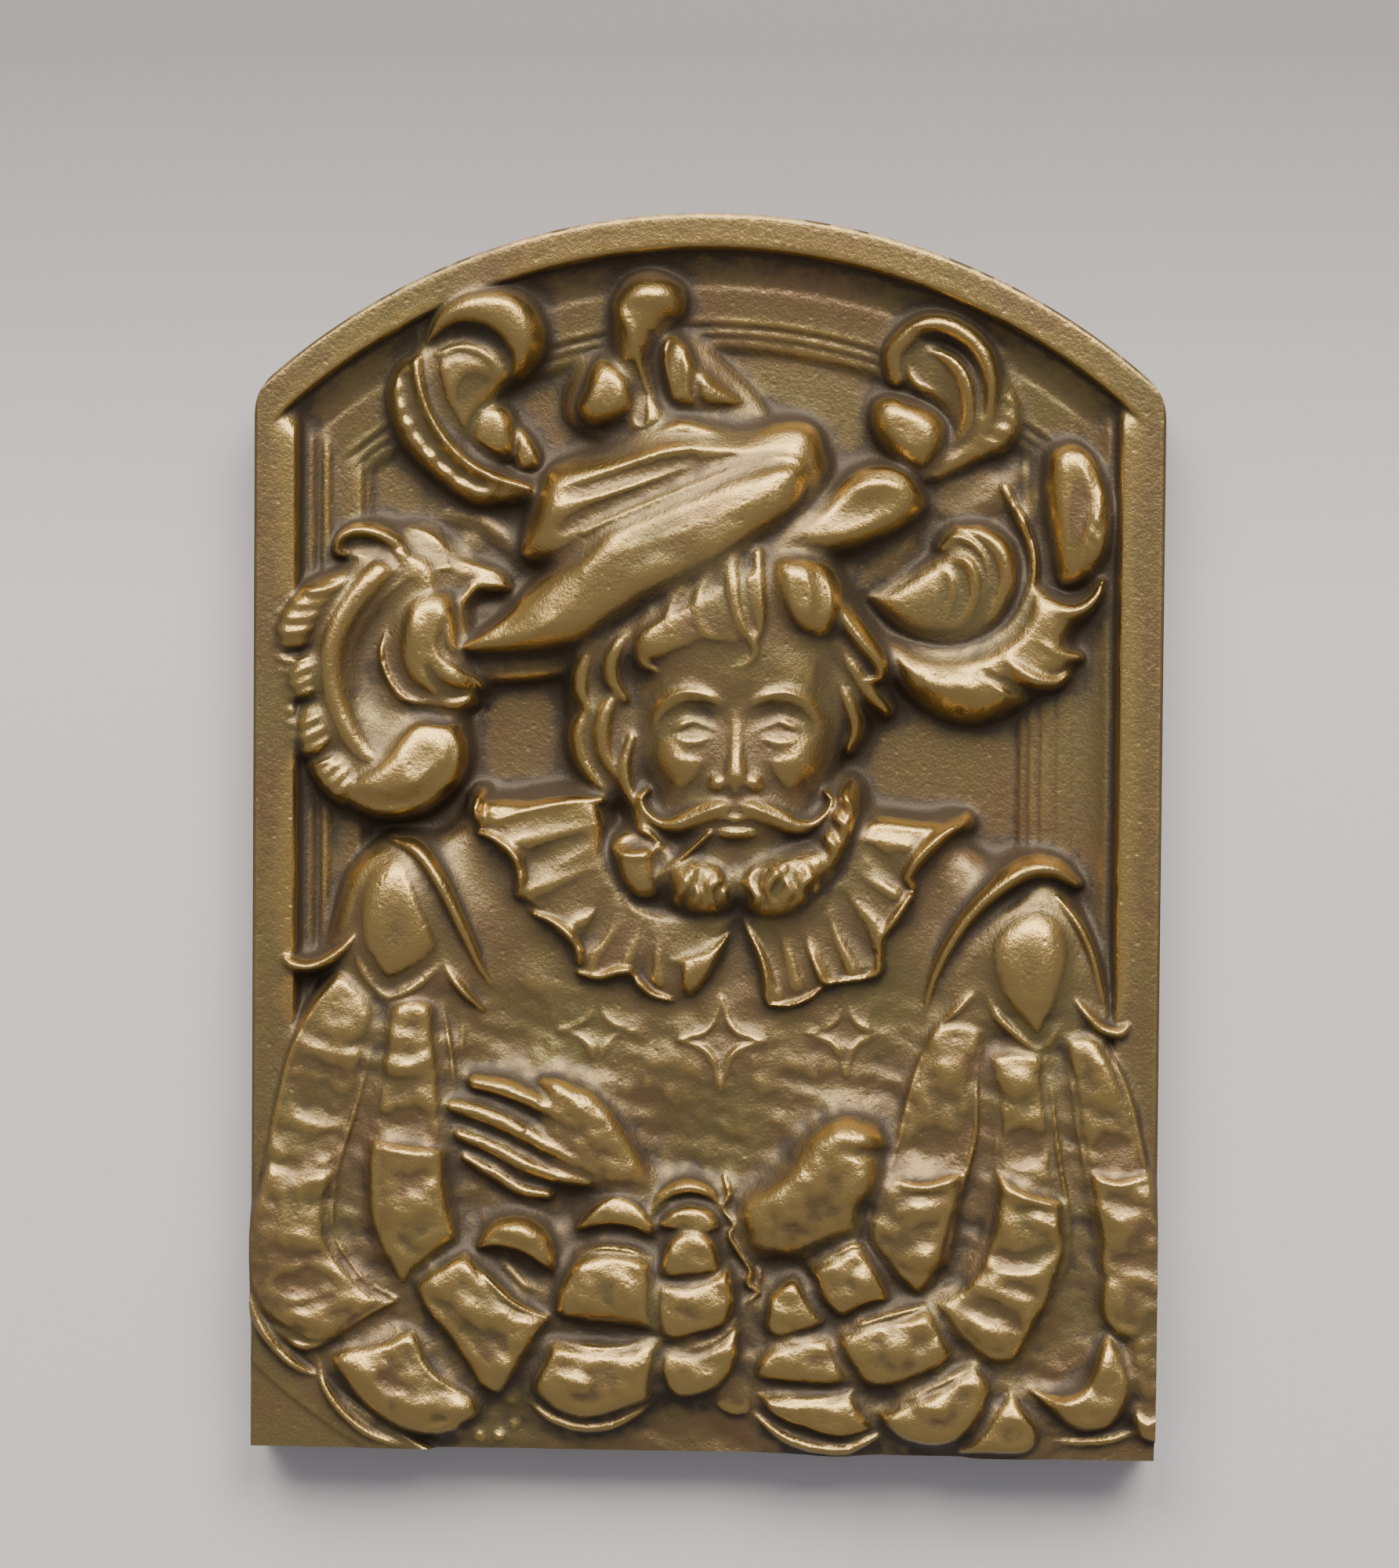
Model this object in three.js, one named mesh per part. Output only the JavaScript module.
// A cast brass wall plaque: an arched frame round a high relief of a bearded man with a
// plumed hat, a pipe, a ruff and slashed sleeves. It is one casting, so it is one solid.
// Millimetres. X runs to the right across the face, Z up, and the face looks along -Y.
// The back is the plane y = 0 and the origin is its middle, where the plaque meets a wall.
import * as THREE from 'three';

// ---- driving sizes
const WIDTH = 230;
const HEIGHT = 314;
const ARCH_RADIUS = 169;
const SHOULDER_RADIUS = 14;
const PANEL_LEVEL = 7.5;
const RIM_LEVEL = 19;
const CELL = 1.25;
const LEAST_LEVEL = 4;
const TRIANGLES_WANTED = 9400;
// a line reaches this many times its half width, so that its foot runs out softly
const LINE_FOOT = 1.3;
// side of the squares that points are sorted into, so that a form only visits those near it
const BIN = 8;

const HALF = WIDTH / 2;
const ARCH_CENTRE = HEIGHT - ARCH_RADIUS;
// the arc that joins each side to the arch is tangent to both
const SHOULDER_X = HALF - SHOULDER_RADIUS;
const SHOULDER_Z = ARCH_CENTRE + Math.sqrt((ARCH_RADIUS - SHOULDER_RADIUS) ** 2 - SHOULDER_X ** 2);
const SHOULDER_ANGLE = Math.atan2(SHOULDER_Z - ARCH_CENTRE, SHOULDER_X);

// ---- the frame's profiles: [distance in from the edge, level], from rim down to panel
const EDGE = [[0, RIM_LEVEL - 0.8], [0.8, RIM_LEVEL]];
const LEFT_RUN = [...EDGE, [10.6, RIM_LEVEL], [11.4, 14.4], [12.2, 13.2], [14.2, 13], [15.2, 11.6],
  [16, 11.4], [17, 12.4], [18.1, 12.2], [19.2, 10.8], [20.5, 10.5], [24, 10.8], [26.2, 10.6], [27.2, 9.2],
  [28.2, 8.9], [29.6, PANEL_LEVEL]];
const RIGHT_RUN = [...EDGE, [11, RIM_LEVEL], [11.8, 15], [12.8, 13.4], [14.4, 13.4], [16, 12.2], [18, 11.2],
  [20, 10.6], [21.8, 10.4], [22.6, 10.9], [26, 10.9], [26.8, 10.2], [27.6, 10.6], [30, 10.4], [30.8, 9.6],
  [33, 9.6], [33.8, 8.8], [35.4, 8.6], [36.4, PANEL_LEVEL]];
const ARCH_RUN = [...EDGE, [8.6, RIM_LEVEL], [9.3, 15.2], [10.2, 14.6], [12, 13], [14, 11.9], [16, 11.2],
  [17.6, 10.9], [18.4, 11.2], [25.6, 10.6], [26.4, 10.9], [27.9, 9.6], [28.8, 10], [29.8, 10], [30.6, 9.1],
  [32.6, 9.2], [33.6, 8.2], [34.8, PANEL_LEVEL]];
const MITRE = 34;

function levelAlong(run, distance) {
  if (distance <= run[0][0]) return run[0][1];
  for (let i = 1; i < run.length; i += 1) {
    const [d0, level0] = run[i - 1];
    const [d1, level1] = run[i];
    if (distance <= d1) return level0 + (level1 - level0) * (distance - d0) / (d1 - d0);
  }
  return run[run.length - 1][1];
}

// each run counts by how near its edge is, in widths of the run: they meet in soft mitres
function frameLevel(x, z) {
  const fromArch = ARCH_RADIUS - Math.hypot(x, z - ARCH_CENTRE);
  const runs = [[LEFT_RUN, x + HALF], [RIGHT_RUN, HALF - x], [ARCH_RUN, fromArch]];
  const depths = runs.map(([run, inward]) => inward / run[run.length - 1][0]);
  const nearest = Math.min(...depths);
  const shares = depths.map((depth) => Math.exp(-MITRE * (depth - nearest)));
  const total = shares.reduce((sum, share) => sum + share, 0);
  return runs.reduce((sum, [run, inward], k) => sum + shares[k] * levelAlong(run, inward), 0) / total;
}

// ---- the carver: it raises and cuts levels over a net of points
function smoothMax(a, b, blend) {
  const share = Math.min(Math.max(0.5 + 0.5 * (b - a) / blend, 0), 1);
  return a * (1 - share) + b * share + blend * share * (1 - share);
}

// Catmull-Rom curve through rows of numbers, every column alike
function smoothRows(rows, closed, steps) {
  const count = rows.length;
  const mirrored = (from, over) => from.map((value, c) => 2 * value - over[c]);
  const at = (i) => {
    if (closed) return rows[(i + count) % count];
    if (i < 0) return mirrored(rows[0], rows[1]);
    if (i >= count) return mirrored(rows[count - 1], rows[count - 2]);
    return rows[i];
  };
  const result = [];
  for (let i = 0; i < (closed ? count : count - 1); i += 1) {
    const [p, q, r, s] = [at(i - 1), at(i), at(i + 1), at(i + 2)];
    for (let k = 0; k < steps; k += 1) {
      const t = k / steps;
      result.push(q.map((value, c) => 0.5 * (2 * value + (r[c] - p[c]) * t
        + (2 * p[c] - 5 * value + 4 * r[c] - s[c]) * t ** 2 + (3 * value - p[c] - 3 * r[c] + s[c]) * t ** 3)));
    }
  }
  if (!closed) result.push(rows[count - 1]);
  return result;
}

class Relief {
  constructor(points) {
    this.points = points;
    this.level = points.map(([x, z]) => frameLevel(x, z));
    this.bins = new Map();
    points.forEach(([x, z], index) => {
      const key = this.binOf(x, z);
      if (!this.bins.has(key)) this.bins.set(key, []);
      this.bins.get(key).push(index);
    });
  }

  binOf(x, z) {
    return Math.floor(x / BIN) * 1000 + Math.floor(z / BIN);
  }

  // calls visit(index, x, z) for each point of the net in the box round the rows
  around(rows, margin, visit) {
    const xs = rows.map((row) => row[0]);
    const zs = rows.map((row) => row[1]);
    const [x0, x1] = [Math.min(...xs) - margin, Math.max(...xs) + margin];
    const [z0, z1] = [Math.min(...zs) - margin, Math.max(...zs) + margin];
    for (let bx = Math.floor(x0 / BIN); bx <= Math.floor(x1 / BIN); bx += 1) {
      for (let bz = Math.floor(z0 / BIN); bz <= Math.floor(z1 / BIN); bz += 1) {
        for (const index of this.bins.get(bx * 1000 + bz) ?? []) {
          const [x, z] = this.points[index];
          if (x > x0 && x < x1 && z > z0 && z < z1) visit(index, x, z);
        }
      }
    }
  }

  // nearest place on the rows: squared distance over squared half width, and the rows either side
  nearest(rows, x, z) {
    let best = { reach: Infinity };
    for (let i = 0; i < rows.length - 1; i += 1) {
      const [a, b] = [rows[i], rows[i + 1]];
      const [ex, ez] = [b[0] - a[0], b[1] - a[1]];
      const lengthSquared = ex * ex + ez * ez;
      if (lengthSquared < 1e-12) continue;
      const t = Math.min(Math.max(((x - a[0]) * ex + (z - a[1]) * ez) / lengthSquared, 0), 1);
      const half = a[2] + (b[2] - a[2]) * t;
      const reach = ((x - a[0] - t * ex) ** 2 + (z - a[1] - t * ez) ** 2) / half ** 2;
      if (reach < best.reach) best = { reach, a, b, t };
    }
    return best;
  }

  // a rounded bar along rows of [x, z, half width, top], rising from the level foot
  limb(path, foot, blend = 0.8, power = 0.5) {
    const rows = smoothRows(path, false, 4).map(([x, z, half, top]) => [x, z, Math.max(half, 0.05), top]);
    const widest = Math.max(...rows.map((row) => row[2]));
    this.around(rows, widest + 1.5, (index, x, z) => {
      const { reach, a, b, t } = this.nearest(rows, x, z);
      const half = a[2] + (b[2] - a[2]) * t;
      const top = a[3] + (b[3] - a[3]) * t;
      const beyond = (Math.sqrt(reach) - 1) * half;
      const bar = reach < 1 ? foot + (top - foot) * (1 - reach) ** power : foot - beyond * 2.5;
      this.level[index] = smoothMax(this.level[index], bar, blend);
    });
  }

  // a closed outline raised to the level top, with a rounded edge, a crown and a tilt
  slab(outline, top, edge, foot, crown = 0, tilt = [0, 0], blend = 0.8, power = 0.6) {
    const rows = smoothRows(outline, true, 4);
    const middleX = rows.reduce((sum, row) => sum + row[0], 0) / rows.length;
    const middleZ = rows.reduce((sum, row) => sum + row[1], 0) / rows.length;
    const found = [];
    this.around(rows, 2, (index, x, z) => {
      const depth = softDistance(rows, x, z);
      found.push([index, x, z, insideOutline(rows, x, z) ? depth : -depth]);
    });
    const deepest = found.reduce((most, row) => Math.max(most, row[3]), 1e-6);
    for (const [index, x, z, depth] of found) {
      let form = foot + depth * 3;
      if (depth > 0) {
        const swelling = crown * (1 - (1 - depth / deepest) ** 2);
        const face = top + tilt[0] * (x - middleX) + tilt[1] * (z - middleZ) + swelling;
        form = foot + (face - foot) * (1 - (1 - Math.min(depth / Math.min(edge, deepest), 1)) ** 2) ** power;
      }
      this.level[index] = smoothMax(this.level[index], form, blend);
    }
  }

  // a soft ridge along rows of [x, z, half width, rise], or a groove where rise is negative
  line(path) {
    const widen = ([x, z, half, rise]) => [x, z, Math.max(half * LINE_FOOT, 0.05), rise];
    const rows = smoothRows(path, false, 4).map(widen);
    const widest = Math.max(...rows.map((row) => row[2]));
    this.around(rows, widest + 0.5, (index, x, z) => {
      const { reach, a, b, t } = this.nearest(rows, x, z);
      if (reach < 1) this.level[index] += (a[3] + (b[3] - a[3]) * t) * (1 - reach) ** 1.5;
    });
  }

  // an oval swelling, or a hollow where rise is negative
  bump(x0, z0, radiusX, radiusZ, rise, turn = 0) {
    const [cos, sin] = [Math.cos(turn * Math.PI / 180), Math.sin(turn * Math.PI / 180)];
    this.around([[x0, z0]], Math.max(radiusX, radiusZ), (index, x, z) => {
      const along = ((x - x0) * cos + (z - z0) * sin) / radiusX;
      const across = ((z - z0) * cos - (x - x0) * sin) / radiusZ;
      const reach = along ** 2 + across ** 2;
      if (reach < 1) this.level[index] += rise * (1 - reach) ** 1.5;
    });
  }
}

// distance from an outline without creases inside: each side pulls as a charged line, and the
// distance is that from a straight edge of the same pull
function softDistance(rows, x, z) {
  let pull = 0;
  for (let i = 0; i < rows.length; i += 1) {
    const a = rows[i];
    const b = rows[(i + 1) % rows.length];
    const [ex, ez] = [b[0] - a[0], b[1] - a[1]];
    const length = Math.hypot(ex, ez);
    if (length < 1e-9) continue;
    const [px, pz] = [x - a[0], z - a[1]];
    const along = (px * ex + pz * ez) / length;
    const aside = Math.max(((px * ez - pz * ex) / length) ** 2, 1e-4);
    const ahead = length - along;
    pull += (ahead / Math.sqrt(aside + ahead ** 2) + along / Math.sqrt(aside + along ** 2)) / aside;
  }
  return Math.sqrt(2 / Math.max(pull, 1e-9));
}

function insideOutline(rows, x, z) {
  let inside = false;
  for (let i = 0; i < rows.length; i += 1) {
    const a = rows[i];
    const b = rows[(i + 1) % rows.length];
    if ((a[1] > z) !== (b[1] > z) && x < (b[0] - a[0]) * (z - a[1]) / (b[1] - a[1]) + a[0]) inside = !inside;
  }
  return inside;
}

// ---- the carving, group by group: x from the middle, z from the bottom edge
function topAndRightPlumes(relief) {
  // plume above the crown's left
  relief.slab([[-73, 281], [-70, 289], [-63, 294.5], [-53, 295.5], [-45, 292], [-41, 285], [-42, 278],
    [-46, 272.5], [-51, 270], [-57, 262], [-60, 256], [-52, 250], [-45, 247], [-42, 242], [-52, 240.5],
    [-60, 240], [-68, 245], [-74, 250], [-79, 255.5], [-82, 262], [-83, 270], [-79, 278]], 14.5, 4, 8, 2.5);
  relief.slab([[-73, 280], [-70.6, 289], [-63, 295], [-53, 296.4], [-45, 293], [-41, 285], [-42, 278],
    [-47, 272.5], [-50.6, 273], [-53, 279], [-58, 283], [-64, 283.4], [-70, 280]], 19.5, 6.5, 10, 3.0,
    [0, 0.08], 1.0);
  relief.slab([[-72, 277], [-66, 281], [-58, 280.6], [-52.4, 276.6], [-50.6, 271.4], [-54.6, 270],
    [-60, 270.4], [-62, 264], [-62, 258], [-58, 252.4], [-64, 253.4], [-69, 259], [-72, 266], [-73, 272]],
    16.4, 5.5, 9, 1.8, [0, 0.04], 1.4);
  relief.slab([[-61, 265], [-56.4, 267.4], [-51, 265.4], [-48.6, 259], [-50, 252.6], [-56, 250.6],
    [-61.6, 255]], 14.2, 5, 9, 1.4, [0, 0], 1.4);
  relief.slab([[-49, 261], [-45.6, 258.6], [-42.4, 252.6], [-44, 249.4], [-49.4, 249.6], [-50, 255]], 12.2,
    3.5, 8, 1.0, [0, 0], 1.4);
  relief.line([[-70.4, 280, 1.6, -1.6], [-64, 283.4, 2.2, -3.4], [-56.6, 282.8, 2.2, -3.4],
    [-51, 277.6, 1.8, -2]]);
  relief.line([[-69, 278.4, 1.1, 0.6], [-62, 280, 1.3, 1.2], [-55.6, 277.6, 1.3, 1.2],
    [-52, 273, 1.1, 0.6]]);
  relief.line([[-73, 284, 1.6, 1.0], [-74, 275, 1.5, 2.2], [-72, 267, 1.5, 2.4], [-68, 259, 1.5, 2.4],
    [-62, 252, 1.5, 2.4], [-54, 247.5, 1.5, 2.2], [-45, 245, 1.4, 1.6]]);
  relief.line([[-70, 276, 2, -1.5], [-69, 267, 2.2, -3], [-64.5, 259, 2.2, -3], [-58, 253.5, 2.2, -3],
    [-50, 250.5, 2, -2.4]]);
  relief.line([[-77, 272, 1.6, -1.5], [-75.5, 264, 1.6, -1.8], [-70, 255, 1.6, -1.8],
    [-62, 247.5, 1.6, -1.6], [-53, 244, 1.5, -1]]);
  relief.line([[-68, 272, 1.4, -0.5], [-66, 264, 1.8, -1.2], [-62, 257, 1.4, -0.6]]);
  // low plumes at the top in the middle
  relief.slab([[-37, 263], [-33.6, 277], [-25, 281], [-12, 286], [-4, 285.6], [4, 277], [13, 268],
    [14, 262], [0, 256], [-20, 254]], 11, 4, 8, 0.8, [0, 0], 1.6);
  relief.slab([[-11, 266], [-14.5, 272], [-15, 280], [-12, 285], [-7, 287], [-5, 291], [-6, 296],
    [-10, 299], [-17, 299.5], [-22, 297], [-25.5, 292], [-25, 284], [-22.5, 278], [-20.5, 274],
    [-18.5, 268]], 18.5, 5.5, 8, 2, [0, 0.06]);
  relief.limb([[-15.4, 291.6, 9, 20.6], [-18, 285, 7, 20], [-19, 278, 5, 18.4], [-17, 272, 3.6, 16],
    [-14.6, 267, 2.4, 14]], 10, 1.6, 0.6);
  relief.slab([[-33, 270], [-31, 276], [-27, 279], [-22, 277], [-18, 273], [-17, 268], [-18, 263],
    [-24, 260], [-31, 260], [-34.5, 265]], 16.6, 6, 8, 3.2);
  relief.slab([[-19.6, 271.6], [-14, 269.4], [-10, 265], [-12, 259], [-20, 258], [-22, 263]], 15, 3.5, 8,
    1.6);
  relief.slab([[-13, 283], [-9, 285], [-5.5, 283], [-2.5, 278], [1.5, 274], [6.5, 270], [10, 267],
    [6, 264.5], [-2, 264], [-9, 265], [-13, 272], [-14, 278]], 16.4, 4, 8, 1.6, [-0.2, 0]);
  relief.line([[-7, 284, 1.8, -0.6], [-8.6, 278, 2, -1.8], [-8, 270, 2, -1.4]]);
  relief.line([[-2.5, 277, 1.4, -0.8], [-3.5, 270, 1.6, -2], [-1, 265, 1.4, -0.8]]);
  relief.line([[-9.6, 284, 1, 0.4], [-11, 279, 1.2, 1.2], [-10.6, 273, 1, 0.5]]);
  relief.line([[-14, 283, 1.5, -2], [-12.5, 274, 1.6, -3], [-11, 266, 1.5, -2]]);
  relief.line([[-19.5, 276, 1.4, -1.5], [-17.5, 268, 1.5, -2.5], [-17, 262, 1.3, -2]]);
  relief.bump(-15, 293, 7, 4, 1.0);
  // curled plume at the top right
  relief.slab([[45, 279], [46.5, 285], [53, 289], [60, 289], [67.5, 286], [73, 281], [76, 275], [79.5, 268],
    [80, 261], [76, 255], [69, 252], [63, 249], [56, 247], [50, 249], [56, 254], [62, 257], [60, 264],
    [54, 268], [49, 272]], 12, 3.5, 8, 1.5);
  relief.limb([[47.5, 274, 3, 13], [47, 280, 3.4, 15.5], [53, 285.6, 3.8, 18], [60, 286, 3.8, 18.5],
    [67, 281.5, 3.8, 18.5], [70.5, 274, 3.6, 18], [70.5, 266, 3.4, 16], [67.5, 258, 3, 13.5],
    [61, 251.5, 2.4, 11], [54, 249, 2, 9.5]], 9);
  relief.limb([[54, 279.6, 1.2, 13.5], [58.6, 279, 2.6, 15.6], [63, 275.6, 3.6, 16.6],
    [65.6, 269.6, 3.6, 16.6], [65.6, 262.6, 2.8, 15], [63, 257, 1.8, 12.6]], 9.5, 1.0, 0.6);
  relief.limb([[50.4, 281, 1.1, 12.6], [50.2, 276, 1.4, 13.6], [52.6, 271.8, 1.5, 13.8],
    [57, 269.8, 1.3, 13.4], [60.6, 266.4, 1, 12.4]], 9.5, 0.8, 0.6);
  relief.line([[52, 283.6, 1.6, -1.2], [57, 283, 2.0, -2.6], [64, 279.4, 2.0, -2.8], [68, 273, 1.8, -2.4],
    [68.6, 265, 1.5, -1.6]]);
  relief.slab([[40.5, 262], [41.5, 267.5], [46, 269.3], [51, 268], [56.5, 266], [60.5, 261.5], [60.5, 256],
    [57.5, 251], [52.5, 248.5], [47, 252], [43, 256]], 15.5, 5, 8, 2.2);
  // plume on the right: the upright leaf, braided on its outer side
  relief.slab([[85, 254.5], [88, 257.4], [92, 258], [96.5, 255.5], [100, 249], [102, 243], [103, 237],
    [102.6, 230], [100.4, 225.5], [97, 222], [92, 220.2], [88, 222], [86, 232], [84.4, 240], [84, 249]],
    17.5, 5, 8, 2.5, [0.08, 0]);
  relief.line([[93.4, 256, 1.3, 0.6], [97.4, 252, 1.7, 1.8], [99.2, 246, 1.6, 1.6], [98.4, 240, 1.5, 1.2],
    [95.6, 233, 1.4, 0.9], [94, 226, 1.3, 0.5]]);
  relief.line([[92, 252, 2, -0.4], [93.4, 243, 2.4, -1.2], [92, 233, 2.2, -1.2], [91, 226, 1.8, -0.6]]);
  // the broad crescent below it
  relief.slab([[80, 224], [86, 221], [92, 219.5], [97, 221], [100.4, 223.4], [101, 218.6], [98.4, 213],
    [94.4, 210], [92.6, 206], [95, 202], [91.6, 197.6], [84.5, 192.6], [77, 188.4], [69.6, 185.6],
    [62, 186.2], [55, 189.2], [49.6, 193.6], [45.5, 198.5], [43, 204.5], [47, 207.5], [55, 205],
    [62, 204.5], [70, 206.5], [76.5, 211], [79.6, 217]], 15.5, 6, 8, 3.0, [0.02, 0]);
  relief.limb([[73.6, 205.6, 1.4, 16], [77.4, 200.8, 3.2, 20], [82.6, 197.4, 3.4, 20.4],
    [88, 196.8, 2.2, 18.6], [91, 198.6, 1.2, 16.6]], 12, 1.0, 0.6);
  relief.line([[70, 199, 1, -0.5], [75, 196.4, 1.6, -1.8], [81, 194, 1.8, -2.2], [87.4, 194, 1.4, -1.4]]);
  relief.limb([[79.6, 211, 1.4, 15.6], [84.4, 206.4, 3.0, 18.6], [89.4, 203.6, 2.6, 18],
    [94, 203, 1.4, 16]], 12, 1.4, 0.6);
  relief.limb([[84.6, 217.4, 1.8, 16], [89, 214.4, 3.2, 18.6], [94.4, 215, 2.6, 19.6],
    [98, 218.4, 2.0, 19.6], [99.6, 222.4, 1.1, 17.6]], 12, 1.2, 0.6);
  relief.line([[86, 220.6, 1.2, -0.8], [91, 218.4, 1.7, -2.0], [96, 220, 1.4, -1.4]]);
  relief.bump(62, 195.6, 9, 4, 1.1, -2);
  // thin rib between the crescent and the swirl
  relief.limb([[45, 206.4, 1.4, 10.5], [55, 204.2, 1.6, 12.5], [62, 203.8, 1.6, 13.5],
    [70, 205.8, 1.7, 14.2], [77, 210.6, 1.7, 14.6], [81, 217.6, 1.7, 14.6], [82.6, 226, 1.7, 14.4],
    [81, 234, 1.7, 13], [77.4, 241, 1.5, 11], [75, 246, 1.3, 9]], 8, 1.0);
  relief.bump(64, 189, 1.5, 1.5, -1.5);
  // swirl inside it: nested crescents
  relief.slab([[57.5, 229], [58.4, 234], [62, 236.6], [68, 236], [74.2, 233.6], [78, 228.4], [79.2, 221],
    [76.8, 214.6], [71.4, 208.6], [65, 205.8], [57, 206], [50, 208.4], [44, 213], [40, 218], [44, 220.4],
    [50, 224], [54, 227]], 12.6, 5, 8, 2.4);
  relief.limb([[63, 234.8, 1.6, 13.6], [69, 233.6, 2.8, 16], [74, 229.4, 3.4, 17.4], [75.4, 222.6, 3.4, 17],
    [73, 215.6, 3.0, 15.6], [68.4, 210.4, 2.2, 14], [62, 207.8, 1.3, 12.6]], 10.5, 1.0, 0.6);
  relief.limb([[59.4, 230.4, 1.4, 13.6], [62.4, 233, 1.8, 15.4], [66.6, 231.8, 1.9, 16.4],
    [70, 227.6, 1.5, 16.4], [71, 221.6, 1.4, 16], [69.4, 215.4, 1.3, 15], [65.4, 210.6, 1.1, 13.4]], 11,
    0.7, 0.6);
  relief.limb([[61.6, 226.4, 1.6, 14.4], [65, 227.2, 2.4, 16.8], [67.4, 223.4, 2.6, 17],
    [67.4, 217.8, 2.4, 16.4], [64.6, 212.6, 2.0, 15], [60, 209.4, 1.3, 13]], 11, 0.7, 0.6);
  relief.limb([[58, 226.4, 1.2, 13.4], [61.2, 223.6, 1.9, 15.8], [62, 218.8, 2.0, 15.8],
    [60.4, 213.6, 1.8, 14.8], [57, 210.4, 1.2, 13]], 11, 0.7, 0.6);
  relief.limb([[55, 223.4, 1.1, 13], [57.6, 220.4, 1.6, 15], [57, 215.6, 1.6, 14.8], [54.4, 212, 1.1, 13]],
    11, 0.7, 0.6);
  relief.limb([[50.6, 221.4, 1.1, 12.6], [53.4, 218.4, 1.7, 14.4], [52.4, 214, 1.4, 13.8],
    [50, 211.4, 1, 12.6]], 10.6, 0.8, 0.6);
  relief.line([[54, 238, 1.2, 0.4], [53.2, 230.6, 1.5, 1.3], [49.6, 224.6, 1.5, 1.3], [43.6, 220, 1.5, 1.2],
    [37, 216.6, 1.2, 0.5]]);
  relief.slab([[36, 229], [44, 232], [50, 235], [53.4, 238], [53, 230.6], [49.4, 224.8], [43.4, 220.2],
    [37, 217], [34, 222]], 10.4, 3, 7.6, 0.8, [0, 0], 1.4);
  // soft vanes round the swirl
  relief.line([[78, 249, 3, 1.0], [72, 243.4, 3.6, 1.6], [64, 240.6, 3.4, 1.3], [56, 242, 2.4, 0.6]]);
  relief.line([[84, 246, 2.4, 1.2], [79.6, 238, 3, 2.0], [78.6, 232, 2, 0.8]]);
  relief.line([[70, 248, 3, 0.8], [62, 246, 3.4, 1.2], [56, 247.6, 2.4, 0.6]]);
}

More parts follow.
